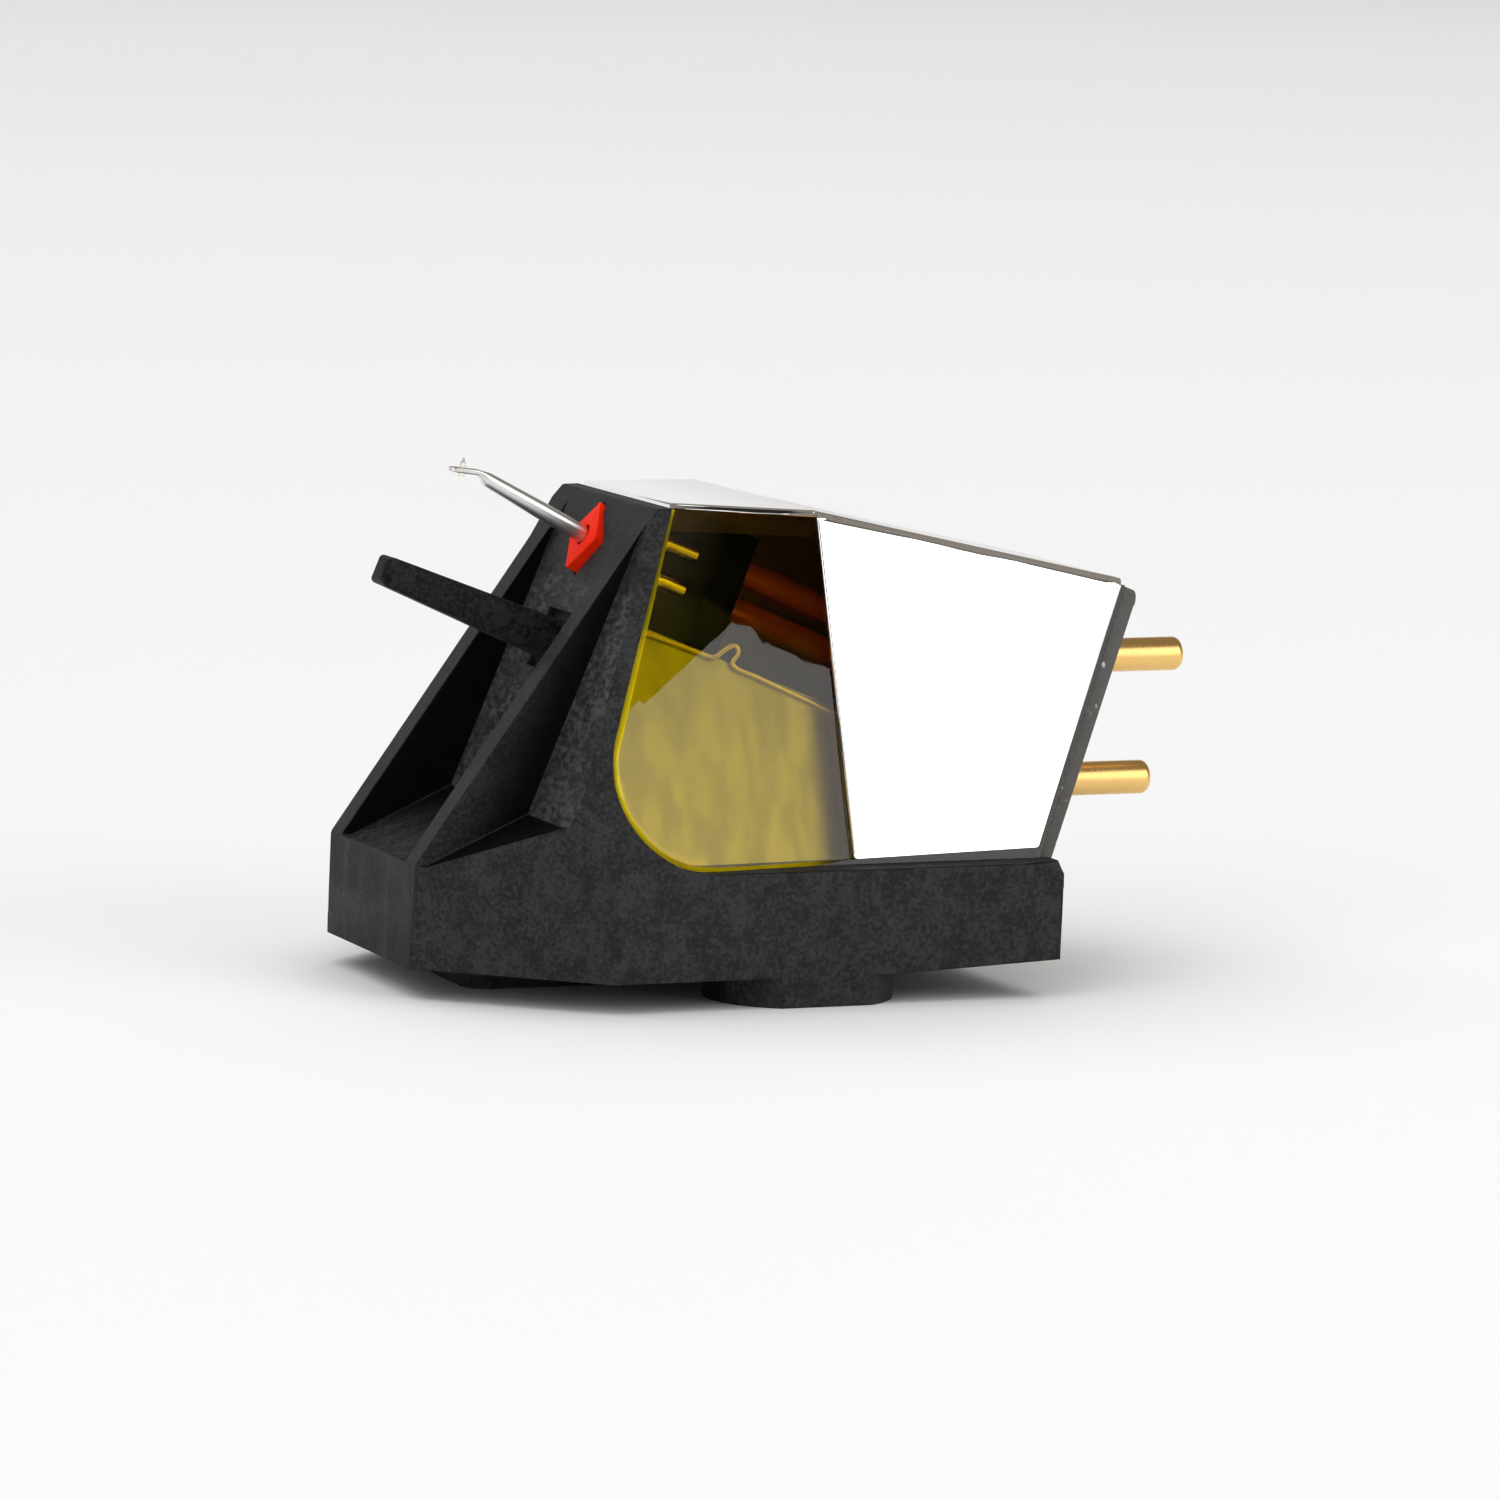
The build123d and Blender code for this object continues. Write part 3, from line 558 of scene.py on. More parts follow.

# %% [markdown]
# The cap is clear plastic dyed amber, polished inside and out. Its CAD shell already has the ruled
# sides, the round lower corner and the bevelled rim, so a copy of its shape takes a transmitting finish.
# Along the rim, where the edge was cut, a brighter yellow is painted into the colour: a painted glow that
# stands in for the light the plastic carries to its cut edge. The rim is the strip next to the plane of the
# breast wall's back, and next to the arc of the lower corner. A darker, browner tint is painted along the
# top edge and next to the sheet. The faces of the cut edge and its bevel are hazy, so they take a second
# finish that lets less light through.

# %% Amber cap
amber, tree, shader = finish("amber_plastic", (0.70, 0.60, 0.03), roughness=0.015, IOR=1.49)
RIM, BEVEL_REACH, RIM_CLEAR = 0.34 * MM, 0.26 * MM, 0.35
SHELL_CREASE = radians(24.0)
CAP_FRONT = 0.62 * MM
CORNER_CENTRE = Vector((-3.68, 0.0, 7.25)) * MM
CORNER_RADIUS = 3.0 * MM
FOLD_X, FOLD_TOP, FOLD_RUN = 0.68 * MM, 14.89 * MM, 0.0536
TOP_FALL = -0.034

from_corner = add(tree, "ShaderNodeVectorMath", operation="SUBTRACT")
from_corner.inputs[1].default_value = CORNER_CENTRE
tree.links.new(add(tree, "ShaderNodeTexCoord").outputs["Object"], from_corner.inputs[0])
flattened = add(tree, "ShaderNodeVectorMath", operation="MULTIPLY")
flattened.inputs[1].default_value = (1.0, 0.0, 1.0)
tree.links.new(from_corner.outputs[0], flattened.inputs[0])
reach = add(tree, "ShaderNodeVectorMath", operation="LENGTH")
tree.links.new(flattened.outputs[0], reach.inputs[0])
parts = add(tree, "ShaderNodeSeparateXYZ")
tree.links.new(from_corner.outputs[0], parts.inputs[0])
in_front_of_centre = math_node(tree, "LESS_THAN", parts.outputs["X"], 0.0)
below_centre = math_node(tree, "LESS_THAN", parts.outputs["Z"], 0.0)
in_corner = product(tree, in_front_of_centre, below_centre)
near_arc = ramp(tree, reach.outputs["Value"], CORNER_RADIUS - RIM, CORNER_RADIUS - RIM / 2)
straight_rim = ramp(tree, wall_distance(tree), -CAP_FRONT - RIM, -CAP_FRONT - RIM / 2)
rim = math_node(tree, "MAXIMUM", product(tree, in_corner, near_arc), straight_rim)

spot = object_xyz(tree)
drop = math_node(tree, "SUBTRACT", FOLD_TOP, spot["Z"])
from_fold = math_node(tree, "SUBTRACT", spot["X"], FOLD_X)
past_fold = math_node(tree, "SUBTRACT", from_fold, product(tree, drop, FOLD_RUN))
beside_sheet = ramp(tree, past_fold, -0.32 * MM, -0.2 * MM)
fold_band = math_node(tree, "SUBTRACT", beside_sheet, ramp(tree, past_fold, 0.02 * MM, 0.05 * MM))
below_top = math_node(tree, "ADD", drop, product(tree, from_fold, TOP_FALL))
short_of_fold = ramp(tree, past_fold, -0.05 * MM, 0.0, 1.0, 0.0)
top_band = product(tree, ramp(tree, below_top, 0.06 * MM, 0.26 * MM, 1.0, 0.0), short_of_fold)
# A darker, browner band is painted along the top edge and beside the sheet.
brown_band = math_node(tree, "MAXIMUM", product(tree, fold_band, 0.6), product(tree, top_band, 0.8))
tint = mix_colour(tree, brown_band, (0.70, 0.60, 0.03, 1), (0.66, 0.30, 0.01, 1))
# Painted glow: a brighter yellow along the rim stands in for the light carried to the cut edge.
tree.links.new(mix_colour(tree, rim, tint, (0.92, 0.72, 0.015, 1)), shader.inputs["Base Color"])
shader.inputs["Transmission Weight"].default_value = 1.0

# %% [markdown]
# The inner faces of the shell would mirror the softbox a second time and veil the inside. Their mirror is
# made weaker. An inner face is one that points at the middle, and Backfacing turns the test round for rays
# that come from within the plastic.

# %% Quiet inner faces
shell = add(tree, "ShaderNodeNewGeometry")
shell_normal = add(tree, "ShaderNodeSeparateXYZ")
tree.links.new(shell.outputs["True Normal"], shell_normal.inputs[0])
outward = product(tree, shell_normal.outputs["Y"], math_node(tree, "SIGN", spot["Y"]))
turned_in = math_node(tree, "SUBTRACT", product(tree, shell.outputs["Backfacing"], 2.0), 1.0)
inside = math_node(tree, "GREATER_THAN", product(tree, outward, turned_in), 0.6)
tree.links.new(mix_colour(tree, inside, (1, 1, 1, 1), (0.1, 0.1, 0.1, 1)), shader.inputs["Specular Tint"])
print("amber plastic:", len(tree.nodes), "nodes")

# %% [markdown]
# The copy of the shell keeps its CAD shape. Only its shading changes: edges below a small angle are
# smooth, so that the facets of the round corner don't show.

# %% Cap with a hazy cut edge
amber_rim = amber.copy()
amber_rim.name = "amber_rim"
amber_rim.node_tree.nodes["Principled BSDF"].inputs["Transmission Weight"].default_value = RIM_CLEAR


def on_rim(point):
    """Whether a point of the cap lies on the cut edge or its bevel."""
    behind = -(point - WALL_FOOT).dot(wall_out) - CAP_FRONT
    out = point - CORNER_CENTRE
    round_corner = max(out.x, out.z) < BEVEL_REACH and hypot(out.x, out.z) > CORNER_RADIUS - BEVEL_REACH
    return behind < BEVEL_REACH or round_corner


shape = joined("cover")
for edge in shape.edges:
    edge.smooth = edge.is_manifold and edge.calc_face_angle() < SHELL_CREASE
for face in shape.faces:
    face.smooth = True
clear_cap = bmesh_object("clear_cap", shape)
dress(clear_cap, "housing", "amber_plastic", amber, "cover")
clear_cap.data.materials.append(amber_rim)
cap_mesh = clear_cap.data
cut_faces = [
    face for face in cap_mesh.polygons if all(on_rim(cap_mesh.vertices[v].co) for v in face.vertices)
]
for face in cut_faces:
    face.material_index = 1
print("cap:", len(cap_mesh.polygons), "faces,", len(cut_faces), "on the rim")

# %% [markdown]
# One thin sheet, polished like a mirror, covers the top and folds down over both sides. Rolling leaves
# very faint streaks that only show in the sharpness of the reflection. Its edges are sheared and
# rounded a little, which draws the fine line round the white side. The side that is glued to the cap is
# dull: it is the background of everything that is seen through the window. The copy is reshaped first:
# its folds are rounder than the CAD ones, and its glued faces sink a hair into the cap, because there is
# no air between them.

# %% Mirror sheet
mirror, tree, shader = finish("bright_sheet", (0.90, 0.895, 0.89), metallic=1.0, roughness=0.04)
rolled = place(tree, streaks, Along_X=500.0, Along_Y=7000.0, Along_Z=7000.0)
gloss = ramp(tree, rolled.outputs["Tone"], 0.3, 0.7, 0.03, 0.042)
spot = object_xyz(tree)
normal = face_xyz(tree)
side_sign = math_node(tree, "SIGN", spot["Y"])
towards_axis = product(tree, product(tree, normal["Y"], side_sign), -1.0)
glued = math_node(tree, "MAXIMUM", towards_axis, product(tree, normal["Z"], -1.0))
glued = math_node(tree, "GREATER_THAN", glued, 0.6)
# Painted reflection: the sloping rear part and the level top beside the fold get a darker, browner colour,
# lighter towards the back.
pitched = product(tree, ramp(tree, normal["X"], 0.12, 0.2), ramp(tree, normal["Z"], 0.6, 0.8))
down_the_roof = ramp(tree, spot["X"], 1.0 * MM, 6.0 * MM)
roof_painted_reflection = mix_colour(tree, down_the_roof, (0.62, 0.57, 0.53, 1), (0.80, 0.77, 0.74, 1))
level_top = ramp(tree, normal["Z"], 0.985, 0.995)
towards_fold = product(tree, level_top, ramp(tree, spot["X"], -3.0 * MM, 0.6 * MM))
top_painted_reflection = mix_colour(tree, towards_fold, (0.90, 0.895, 0.89, 1), (0.64, 0.59, 0.55, 1))
bright = mix_colour(tree, pitched, top_painted_reflection, roof_painted_reflection)
tree.links.new(mix_colour(tree, glued, bright, (0.78, 0.58, 0.38, 1)), shader.inputs["Base Color"])
tree.links.new(math_node(tree, "SUBTRACT", 1.0, glued), shader.inputs["Metallic"])
tree.links.new(math_node(tree, "ADD", gloss, product(tree, glued, 0.6)), shader.inputs["Roughness"])
print("bright sheet:", len(tree.nodes), "nodes")

# %% Folded sheet
FOLD_START = Vector((0.68, 5.679, 15.09)) * MM
FOLD_END = Vector((8.0, 6.0157, 13.447)) * MM
FOLD_REACH = 0.23 * MM
FOLD_ROUNDER = 1.6
GLUE = 0.012 * MM


def fold_and_glue(shape):
    """Rounds the two folds more, and lets the faces that are glued to the cap sink into it."""
    moves = {}
    for face in shape.faces:
        inwards = max(-face.normal.z, -face.normal.y * (1 if face.calc_center_median().y > 0 else -1))
        if inwards > 0.6:
            for vert in face.verts:
                moves.setdefault(vert, []).append(face.normal.copy())
    for vert, normals in moves.items():
        distinct = []
        for normal in normals:
            if all(normal.dot(other) < 0.99 for other in distinct):
                distinct.append(normal)
        vert.co += sum(distinct, Vector()) * GLUE
    rounded = 0
    for side in (1, -1):
        start = Vector((FOLD_START.x, side * FOLD_START.y, FOLD_START.z))
        way = (Vector((FOLD_END.x, side * FOLD_END.y, FOLD_END.z)) - start).normalized()
        for vert in shape.verts:
            nearest = start + way * (vert.co - start).dot(way)
            if (vert.co - nearest).length < FOLD_REACH:
                vert.co = nearest + (vert.co - nearest) * FOLD_ROUNDER
                rounded += 1
    print("sheet:", len(moves), "glued and", rounded, "fold points")


folded_sheet = rounded_copy("trim_sheet", "folded_sheet", 0.07 * MM, segments=3, reshape=fold_and_glue)
dress(folded_sheet, "housing", "bright_sheet", mirror, "trim_sheet")

# %% [markdown]
# The terminal board is black laminate, sawn to shape: its faces are smooth and its edges are rough,
# with a few pale specks of glass fibre, painted bright, partly their own colour and partly painted glints.
# Where the surface points sideways it is an edge.

# %% Terminal board
laminate, tree, shader = finish("board_laminate", (0.03, 0.03, 0.03), roughness=0.6)
shader.inputs["Specular IOR Level"].default_value = 0.25
sawn = place(tree, grain, Scale=5000.0)
sawn_edge = ramp(tree, math_node(tree, "ABSOLUTE", face_xyz(tree)["Y"]), 0.4, 0.7)
colour = mix_colour(tree, sawn.outputs["Tone"], (0.06, 0.059, 0.055, 1), (0.13, 0.126, 0.112, 1))
# Pale fibre specks on the sawn edge, painted bright: partly their own colour, partly painted glints.
fibre_and_glint = product(tree, sawn_edge, ramp(tree, noise(tree, 3600.0, detail=3.0), 0.66, 0.74))
tree.links.new(mix_colour(tree, fibre_and_glint, colour, (0.5, 0.5, 0.48, 1)), shader.inputs["Base Color"])
bump(tree, shader, sawn.outputs["Height"], 0.03 * MM, 0.6)
sawn_board = rounded_copy("terminal_board", "sawn_board", 0.06 * MM)
dress(sawn_board, "housing", "board", laminate, "terminal_board")

# %% [markdown]
# The four contact pins are turned from brass and plated with satin gold. Each is one profile turned
# about its own axis: a square-shouldered start behind the board, a straight shank and a round end.

# %% Gold pins
PIN_RADIUS = 0.54 * MM
PIN_END_ROUND = 0.27 * MM
PIN_SIDES = 48
END_STEPS = 7

gold, tree, shader = finish("gold_plate", (0.86, 0.55, 0.19), metallic=1.0, roughness=0.28)
turned = place(tree, streaks, Along_X=9000.0, Along_Y=500.0, Along_Z=500.0)
tree.links.new(ramp(tree, turned.outputs["Tone"], 0.3, 0.7, 0.26, 0.32), shader.inputs["Roughness"])
colour = mix_colour(tree, turned.outputs["Tone"], (0.84, 0.53, 0.18, 1), (0.88, 0.58, 0.21, 1))
tree.links.new(colour, shader.inputs["Base Color"])


def turned_piece(name, profile, start, axis, sides):
    """A closed solid of revolution: profile pairs are (distance along the axis, radius)."""
    place_it = Matrix.Translation(start) @ Vector(axis).to_track_quat("Z", "Y").to_matrix().to_4x4()
    shape = bmesh.new()
    rings = []
    for along, radius in profile:
        if radius == 0.0:
            rings.append([shape.verts.new(place_it @ Vector((0, 0, along)))])
            continue
        ring = []
        for step in range(sides):
            turn = 2 * pi * step / sides
            ring.append(shape.verts.new(place_it @ Vector((radius * cos(turn), radius * sin(turn), along))))
        rings.append(ring)
    for low, high in zip(rings, rings[1:]):
        for step in range(sides):
            follow = step + 1
            corners = [low[step % len(low)], low[follow % len(low)]]
            corners += [high[follow % len(high)], high[step % len(high)]]
            shape.faces.new(list(dict.fromkeys(corners)))
    bmesh.ops.recalc_face_normals(shape, faces=shape.faces)
    piece = bmesh_object(name, shape)
    piece.data.shade_smooth()
    piece.data.set_sharp_from_angle(angle=radians(40.0))
    return piece


BOARD_FOOT_X = 7.55 * MM
BASE_TOP = 4.25 * MM
BOARD_STEP = 0.52 * MM / sin(WALL_ANGLE)
for pin in ("pin_upper_left", "pin_upper_right", "pin_lower_left", "pin_lower_right"):
    low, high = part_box(pin)
    middle = (low + high) / 2
    shoulder = BOARD_FOOT_X + (middle.z - BASE_TOP) * wall_run + BOARD_STEP + PIN_RADIUS * wall_run
    shank = high.x - PIN_END_ROUND - shoulder
    profile = [(0.0, 0.0), (0.0, PIN_RADIUS * 0.92), (0.04 * MM, PIN_RADIUS), (shank, PIN_RADIUS)]
    for step in range(1, END_STEPS + 1):
        turn = pi / 2 * step / END_STEPS
        rim = PIN_RADIUS - PIN_END_ROUND + PIN_END_ROUND * cos(turn)
        profile.append((shank + PIN_END_ROUND * sin(turn), rim))
    profile.append((shank + PIN_END_ROUND, 0.0))
    post = turned_piece("gold_" + pin, profile, (shoulder, middle.y, middle.z), (1, 0, 0), PIN_SIDES)
    dress(post, "housing", "gold_plate", gold, pin)
    print(post.name, "ends at X", round(high.x / MM, 2), "mm")

# %% [markdown]
# The damper is a soft red silicone block. Its corners are rounder than anything moulded in hard
# plastic, and a little light goes into it.

# %% Red damper
silicone, tree, shader = finish("red_silicone", (0.96, 0.025, 0.004), roughness=0.5)
shader.inputs["Specular IOR Level"].default_value = 0.06
shader.inputs["Subsurface Weight"].default_value = 0.15
shader.inputs["Subsurface Radius"].default_value = (0.3 * MM, 0.06 * MM, 0.03 * MM)
shader.inputs["Subsurface Scale"].default_value = 1.0
skin = place(tree, grain, Scale=3500.0)
colour = mix_colour(tree, skin.outputs["Tone"], (0.94, 0.02, 0.003, 1), (0.98, 0.03, 0.005, 1))
tree.links.new(colour, shader.inputs["Base Color"])
bump(tree, shader, skin.outputs["Height"], 0.01 * MM, 0.4)
DAMPER_STRETCH = 0.055


def fill_recess(shape):
    """Stretches the block a little along the wall, so that it fills its recess as soft rubber does."""
    middle = sum((vert.co for vert in shape.verts), Vector()) / len(shape.verts)
    for vert in shape.verts:
        vert.co += wall_along * (vert.co - middle).dot(wall_along) * DAMPER_STRETCH


soft_damper = rounded_copy("damper", "soft_damper", 0.06 * MM, segments=3, reshape=fill_recess)
dress(soft_damper, "damper_block", "red_rubber", silicone, "damper")

# %% [markdown]
# The cantilever is a drawn aluminium tube, tapered and pinched flat at its end, where the diamond is
# set. Its CAD shape has a plain cone and a thin strap. Here one skin of rings follows the same axis: round
# rings along the tube, then flatter and squarer ones that lean towards the top, then the strap's end.

# %% Cantilever and stylus
aluminium, tree, shader = finish("aluminium_tube", (0.55, 0.54, 0.52), metallic=1.0, roughness=0.36)
drawn = place(tree, grain, Scale=6000.0)
tree.links.new(ramp(tree, drawn.outputs["Tone"], 0.3, 0.7, 0.3, 0.34), shader.inputs["Roughness"])
colour = mix_colour(tree, drawn.outputs["Tone"], (0.74, 0.73, 0.71, 1), (0.84, 0.83, 0.81, 1))
tree.links.new(colour, shader.inputs["Base Color"])

TUBE_PITCH, STRAP_PITCH = radians(29.1), radians(8.0)
TUBE_ROOT = Vector((-4.827, 0.0, 13.81)) * MM
TUBE_BACK, TAPER_START, PINCH_START, TUBE_LENGTH = -1.75 * MM, 1.9 * MM, 3.85 * MM, 4.3 * MM
ROOT_RADIUS, PINCH_RADIUS = 0.28 * MM, 0.235 * MM
STRAP_LENGTH, STRAP_HALF_WIDTH, STRAP_HALF_HEIGHT, STRAP_RISE = 0.94 * MM, 0.21 * MM, 0.095 * MM, 0.05 * MM
RING_SIDES = 40
PINCH_STEPS, END_RINGS = 10, 9
tube_way = Vector((-cos(TUBE_PITCH), 0, sin(TUBE_PITCH)))
tube_up = Vector((sin(TUBE_PITCH), 0, cos(TUBE_PITCH)))
strap_way = Vector((-cos(STRAP_PITCH), 0, sin(STRAP_PITCH)))
strap_up = Vector((sin(STRAP_PITCH), 0, cos(STRAP_PITCH)))
bend = TUBE_ROOT + tube_way * TUBE_LENGTH

rings = [(TUBE_ROOT + tube_way * s, tube_up, r, r, 2.0) for s, r in (
    (TUBE_BACK, ROOT_RADIUS), (TAPER_START, ROOT_RADIUS), (PINCH_START, PINCH_RADIUS))]
for step in range(1, PINCH_STEPS + 1):
    part = step / PINCH_STEPS
    ease = part * part * (3 - 2 * part)
    along = PINCH_START + (TUBE_LENGTH - PINCH_START) * part
    centre = TUBE_ROOT + tube_way * along + strap_up * STRAP_RISE * ease
    half_height = PINCH_RADIUS + (STRAP_HALF_HEIGHT - PINCH_RADIUS) * ease
    half_width = PINCH_RADIUS + (STRAP_HALF_WIDTH - PINCH_RADIUS) * ease
    ring_up = tube_up.lerp(strap_up, ease).normalized()
    rings.append((centre, ring_up, half_height, half_width, 2.0 + 2.0 * ease))
for step in range(END_RINGS + 1):
    turn = pi / 2 * step / END_RINGS
    reach = STRAP_LENGTH - STRAP_HALF_WIDTH + STRAP_HALF_WIDTH * sin(turn)
    half_width = STRAP_HALF_WIDTH * max(cos(turn), 0.12)
    centre = bend + strap_up * STRAP_RISE + strap_way * reach
    rings.append((centre, strap_up, STRAP_HALF_HEIGHT * (1 - 0.25 * sin(turn)), half_width, 4.0))


def ring_skin(name, rings, sides):
    """A closed skin over rings, each given by its centre, its up, two half sizes and how square it is."""
    shape = bmesh.new()
    loops = []
    for centre, up, half_height, half_width, square in rings:
        loop = []
        for step in range(sides):
            turn = 2 * pi * step / sides
            across, high = cos(turn), sin(turn)
            size = (abs(across) ** square + abs(high) ** square) ** (-1 / square)
            sidestep = Vector((0, across * size * half_width, 0))
            loop.append(shape.verts.new(centre + sidestep + up * high * size * half_height))
        loops.append(loop)
    for low, high in zip(loops, loops[1:]):
        for step in range(sides):
            follow = (step + 1) % sides
            shape.faces.new((low[step], low[follow], high[follow], high[step]))
    shape.faces.new(loops[0])
    shape.faces.new(loops[-1])
    bmesh.ops.recalc_face_normals(shape, faces=shape.faces)
    piece = bmesh_object(name, shape)
    piece.data.shade_smooth()
    piece.data.set_sharp_from_angle(angle=radians(50.0))
    return piece


drawn_tube = ring_skin("drawn_tube", rings, RING_SIDES)
dress(drawn_tube, "moving_system", "aluminium_tube", aluminium, "cantilever")
print("drawn tube:", len(drawn_tube.data.polygons), "faces")

diamond, tree, shader = finish("diamond", (0.96, 0.90, 0.74), roughness=0.02, IOR=2.1)
shader.inputs["Transmission Weight"].default_value = 0.9


def paint(node, material):
    """Puts a material in every slot of a CAD node's object."""
    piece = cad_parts[node]
    if not piece.material_slots:
        piece.data.materials.append(material)
    for slot in piece.material_slots:
        slot.material = material


paint("stylus_tip", diamond)

# %% [markdown]
# Behind the breast wall sit the iron yokes, the nickel-plated magnet, brass studs and copper-coloured
# sleeves on the leads. They are seen through amber plastic only, so a clear difference in gloss and
# colour matters more here than small detail. The iron's near-black colour is partly its own and partly
# painted shade, which keeps the dim inside of the body dark.

# %% Generator finishes
nickel, tree, shader = finish("nickel", (0.66, 0.64, 0.58), metallic=1.0, roughness=0.3)
plated = place(tree, streaks, Along_X=1500.0, Along_Y=1500.0, Along_Z=200.0)
tree.links.new(ramp(tree, plated.outputs["Tone"], 0.35, 0.65, 0.4, 0.5), shader.inputs["Roughness"])
colour = mix_colour(tree, plated.outputs["Tone"], (0.55, 0.54, 0.50, 1), (0.63, 0.62, 0.58, 1))
tree.links.new(colour, shader.inputs["Base Color"])
# Near-black iron: the colour is partly the iron's own and partly painted shade for the dim inside.
iron, tree, shader = finish("soft_iron", (0.01, 0.01, 0.01), roughness=0.5)
shader.inputs["Specular IOR Level"].default_value = 0.08
forged = place(tree, grain, Scale=5000.0)
colour = mix_colour(tree, forged.outputs["Tone"], (0.003, 0.003, 0.003, 1), (0.009, 0.0087, 0.0083, 1))
tree.links.new(colour, shader.inputs["Base Color"])
brass, tree, shader = finish("bright_brass", (1.0, 0.84, 0.36), metallic=1.0, roughness=0.3)
copper, tree, shader = finish("copper_sleeve", (0.9, 0.17, 0.05), metallic=0.35, roughness=0.3)
shader.inputs["Coat Weight"].default_value = 1.0
shader.inputs["Coat Roughness"].default_value = 0.06
lacquer = place(tree, grain, Scale=2600.0)
colour = mix_colour(tree, lacquer.outputs["Tone"], (0.88, 0.15, 0.04, 1), (1.0, 0.22, 0.06, 1))
tree.links.new(colour, shader.inputs["Base Color"])
steel, tree, shader = finish("steel_wire", (0.6, 0.6, 0.6), metallic=1.0, roughness=0.25)

for node, material in {
    "magnet": nickel, "front_yoke": iron, "rear_yoke": iron, "coil_former": iron,
    "pole_studs": brass, "suspension_wire": steel,
    "lead_upper_left": copper, "lead_upper_right": copper,
    "lead_lower_left": copper, "lead_lower_right": copper,
}.items():
    paint(node, material)
print("generator pieces painted")

# %% [markdown]
# Each coil is a few dozen turns of hair-thin copper wire round one bar of the cross-shaped former.
# Turns repeat along the bar, so Geometry Nodes set a rounded rectangle of wire at every step of a
# line. The line is laid along X at the origin and the finished mesh is then turned onto its bar.

# %% Coils
FORMER_BACK = -2.05 * MM
FORMER_THICK = 0.30 * MM
FORMER_BAR = 0.28 * MM
COIL_START, COIL_LENGTH, COIL_BUILD = 0.30 * MM, 0.42 * MM, 0.14 * MM
COIL_TURNS = 11
across = Vector((0, -1, 0))
former_frame = Matrix((across, tube_way.cross(across), tube_way)).transposed().to_4x4()
former_middle = TUBE_ROOT + tube_way * (FORMER_BACK + FORMER_THICK / 2)

coil_tree, coil_in, coil_out = node_tree(
    "coil_turns",
    {"Start": COIL_START, "End": COIL_START + COIL_LENGTH, "Width": 0.0, "Depth": 0.0, "Wire": 0.0},
)
span = add(coil_tree, "GeometryNodeMeshLine", mode="END_POINTS", Count=COIL_TURNS)
for label, socket in (("Start", "Start Location"), ("End", "Offset")):
    point = add(coil_tree, "ShaderNodeCombineXYZ")
    coil_tree.links.new(coil_in.outputs[label], point.inputs["X"])
    coil_tree.links.new(point.outputs[0], span.inputs[socket])
turn_shape = add(coil_tree, "GeometryNodeCurvePrimitiveQuadrilateral")
coil_tree.links.new(coil_in.outputs["Width"], turn_shape.inputs["Width"])
coil_tree.links.new(coil_in.outputs["Depth"], turn_shape.inputs["Height"])
eased = add(coil_tree, "GeometryNodeFilletCurve", mode="POLY", Count=3, Radius=0.1 * MM)
wire_section = add(coil_tree, "GeometryNodeCurvePrimitiveCircle", Resolution=6)
coil_tree.links.new(coil_in.outputs["Wire"], wire_section.inputs["Radius"])
wire_turn = add(coil_tree, "GeometryNodeCurveToMesh")
coil_tree.links.new(turn_shape.outputs[0], eased.inputs["Curve"])
coil_tree.links.new(eased.outputs[0], wire_turn.inputs["Curve"])
coil_tree.links.new(wire_section.outputs[0], wire_turn.inputs["Profile Curve"])
wound = add(coil_tree, "GeometryNodeInstanceOnPoints", Rotation=(0.0, pi / 2, 0.0))
coil_tree.links.new(span.outputs[0], wound.inputs["Points"])
coil_tree.links.new(wire_turn.outputs[0], wound.inputs["Instance"])
opposite = add(coil_tree, "GeometryNodeTransform", Rotation=(0.0, 0.0, pi))
both = add(coil_tree, "GeometryNodeJoinGeometry")
coil_tree.links.new(wound.outputs[0], opposite.inputs["Geometry"])
coil_tree.links.new(wound.outputs[0], both.inputs[0])
coil_tree.links.new(opposite.outputs[0], both.inputs[0])
closing(coil_tree, both.outputs[0], copper, coil_out)

wire_radius = COIL_LENGTH / COIL_TURNS / 2
for coil, turn in (("coil_left", 45.0), ("coil_right", 135.0)):
    winding = new_object("wound_" + coil, bpy.data.meshes.new(coil + "_seed"))
    run_tree(winding, coil_tree, {
        "Width": FORMER_THICK + 2 * COIL_BUILD - 2 * wire_radius,
        "Depth": FORMER_BAR + 2 * COIL_BUILD - 2 * wire_radius,
        "Wire": wire_radius, "Start": COIL_START + wire_radius, "End": COIL_START + COIL_LENGTH - wire_radius,
    })
    onto_bar = former_frame @ Matrix.Rotation(radians(turn), 4, "Z")
    winding.data.transform(Matrix.Translation(former_middle) @ onto_bar)
    winding.data.shade_smooth()
    dress(winding, "moving_system", "copper_sleeve", copper, coil)
    print(winding.name, "has", len(winding.data.polygons), "faces")
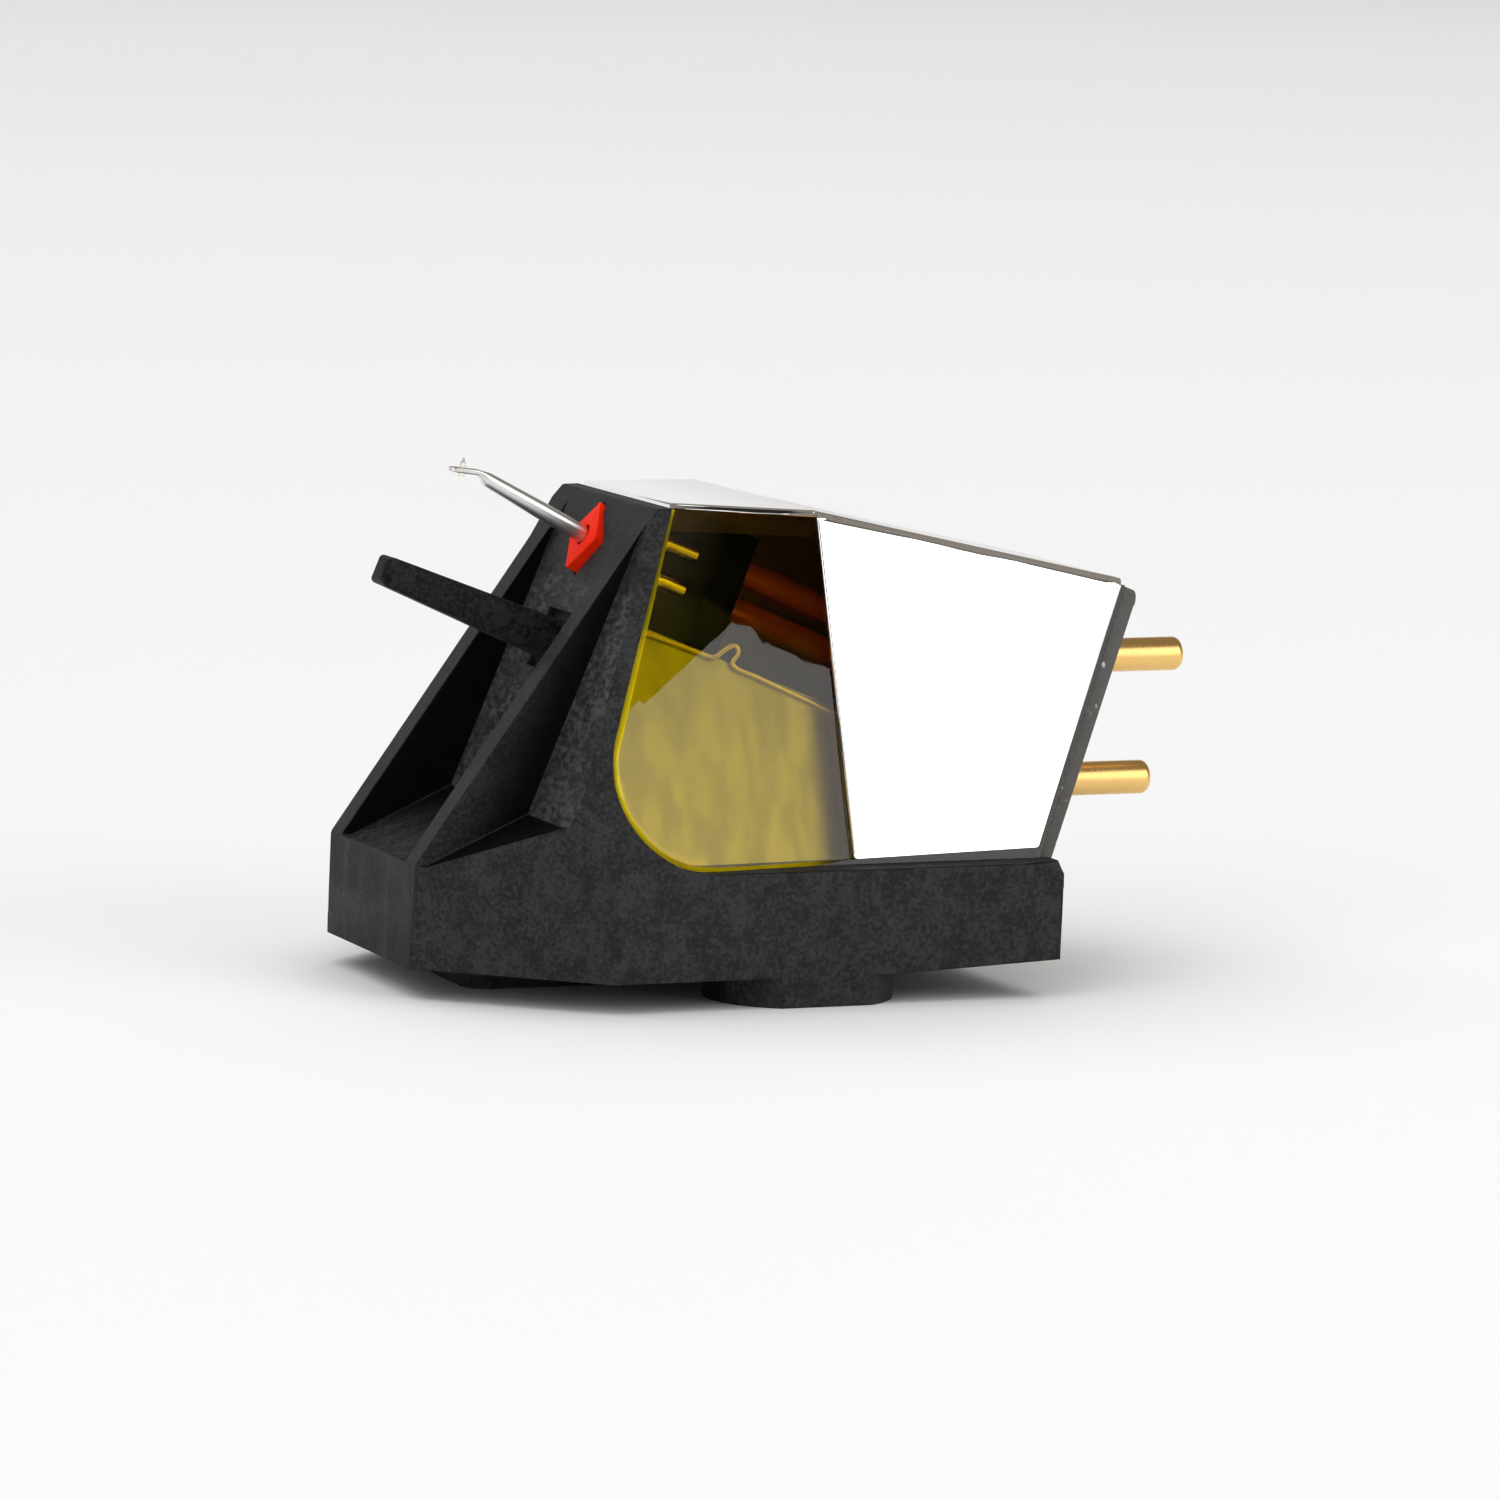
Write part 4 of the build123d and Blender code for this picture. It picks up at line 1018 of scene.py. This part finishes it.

# %% [markdown]
# A thin gold wire runs along each side of the magnet, just under its top edge, and carries a small knot.
# It is a NURBS curve with a round bevel: a few points, given along and above the generator's
# axis, make the knot's loop, and the spline smooths them. A ray cast finds the magnet's side for each.

# %% Knotted wires
WIRE_RADIUS = 0.085 * MM
WIRE_STAND_OFF = 0.1 * MM
SIDE_LEVEL = -2.3
WIRE_ROUTE = (
    (0.75, -2.36), (1.48, -2.33), (2.31, -2.28), (3.03, -2.26), (3.35, -2.25), (3.46, -1.97), (3.78, -1.5),
    (4.05, -1.84), (3.8, -2.14), (4.1, -2.32), (4.63, -2.25), (5.25, -2.3), (5.85, -2.31), (6.7, -2.34),
    (8.4, -2.36),
)


def at_axis(along, above, y):
    """A point in metres, from millimetres along and above the generator's axis."""
    return TUBE_ROOT + (wall_along * above - wall_out * along) * MM + Vector((0, y, 0))


def wire_mesh(name, points, radius, order=4):
    """A smooth round wire along given points, as a mesh."""
    curve = bpy.data.curves.new(name, "CURVE")
    curve.dimensions = "3D"
    curve.bevel_depth = radius
    curve.bevel_resolution = 3
    curve.use_fill_caps = True
    spline = curve.splines.new("NURBS")
    spline.points.add(len(points) - 1)
    for control, point in zip(spline.points, points):
        control.co = (*point, 1.0)
    spline.order_u = order
    spline.use_endpoint_u = True
    spline.resolution_u = 6
    rough = bpy.data.objects.new(name, curve)
    scene.collection.objects.link(rough)
    bpy.context.view_layer.update()
    mesh = bpy.data.meshes.new_from_object(rough.evaluated_get(bpy.context.evaluated_depsgraph_get()))
    bpy.data.objects.remove(rough)
    mesh.shade_smooth()
    return mesh


magnet_tree = BVHTree.FromObject(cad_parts["magnet"], bpy.context.evaluated_depsgraph_get())


def magnet_side(along):
    """Half the magnet's width at a place along the axis, just under its top edge."""
    hit = magnet_tree.ray_cast(at_axis(along, SIDE_LEVEL, -20 * MM), Vector((0, 1, 0)))
    return -hit[0].y


sides = bmesh.new()
for side in (1, -1):
    route = [
        at_axis(along, above, side * (magnet_side(along) + WIRE_STAND_OFF)) for along, above in WIRE_ROUTE
    ]
    sides.from_mesh(wire_mesh("gold_wire", route, WIRE_RADIUS))
knotted_wires = bmesh_object("knotted_wires", sides)
knotted_wires.data.shade_smooth()
dress(knotted_wires, "housing", "fine_gold_wire", brass, "fine_wires")
print("knotted wires:", len(knotted_wires.data.polygons), "faces")
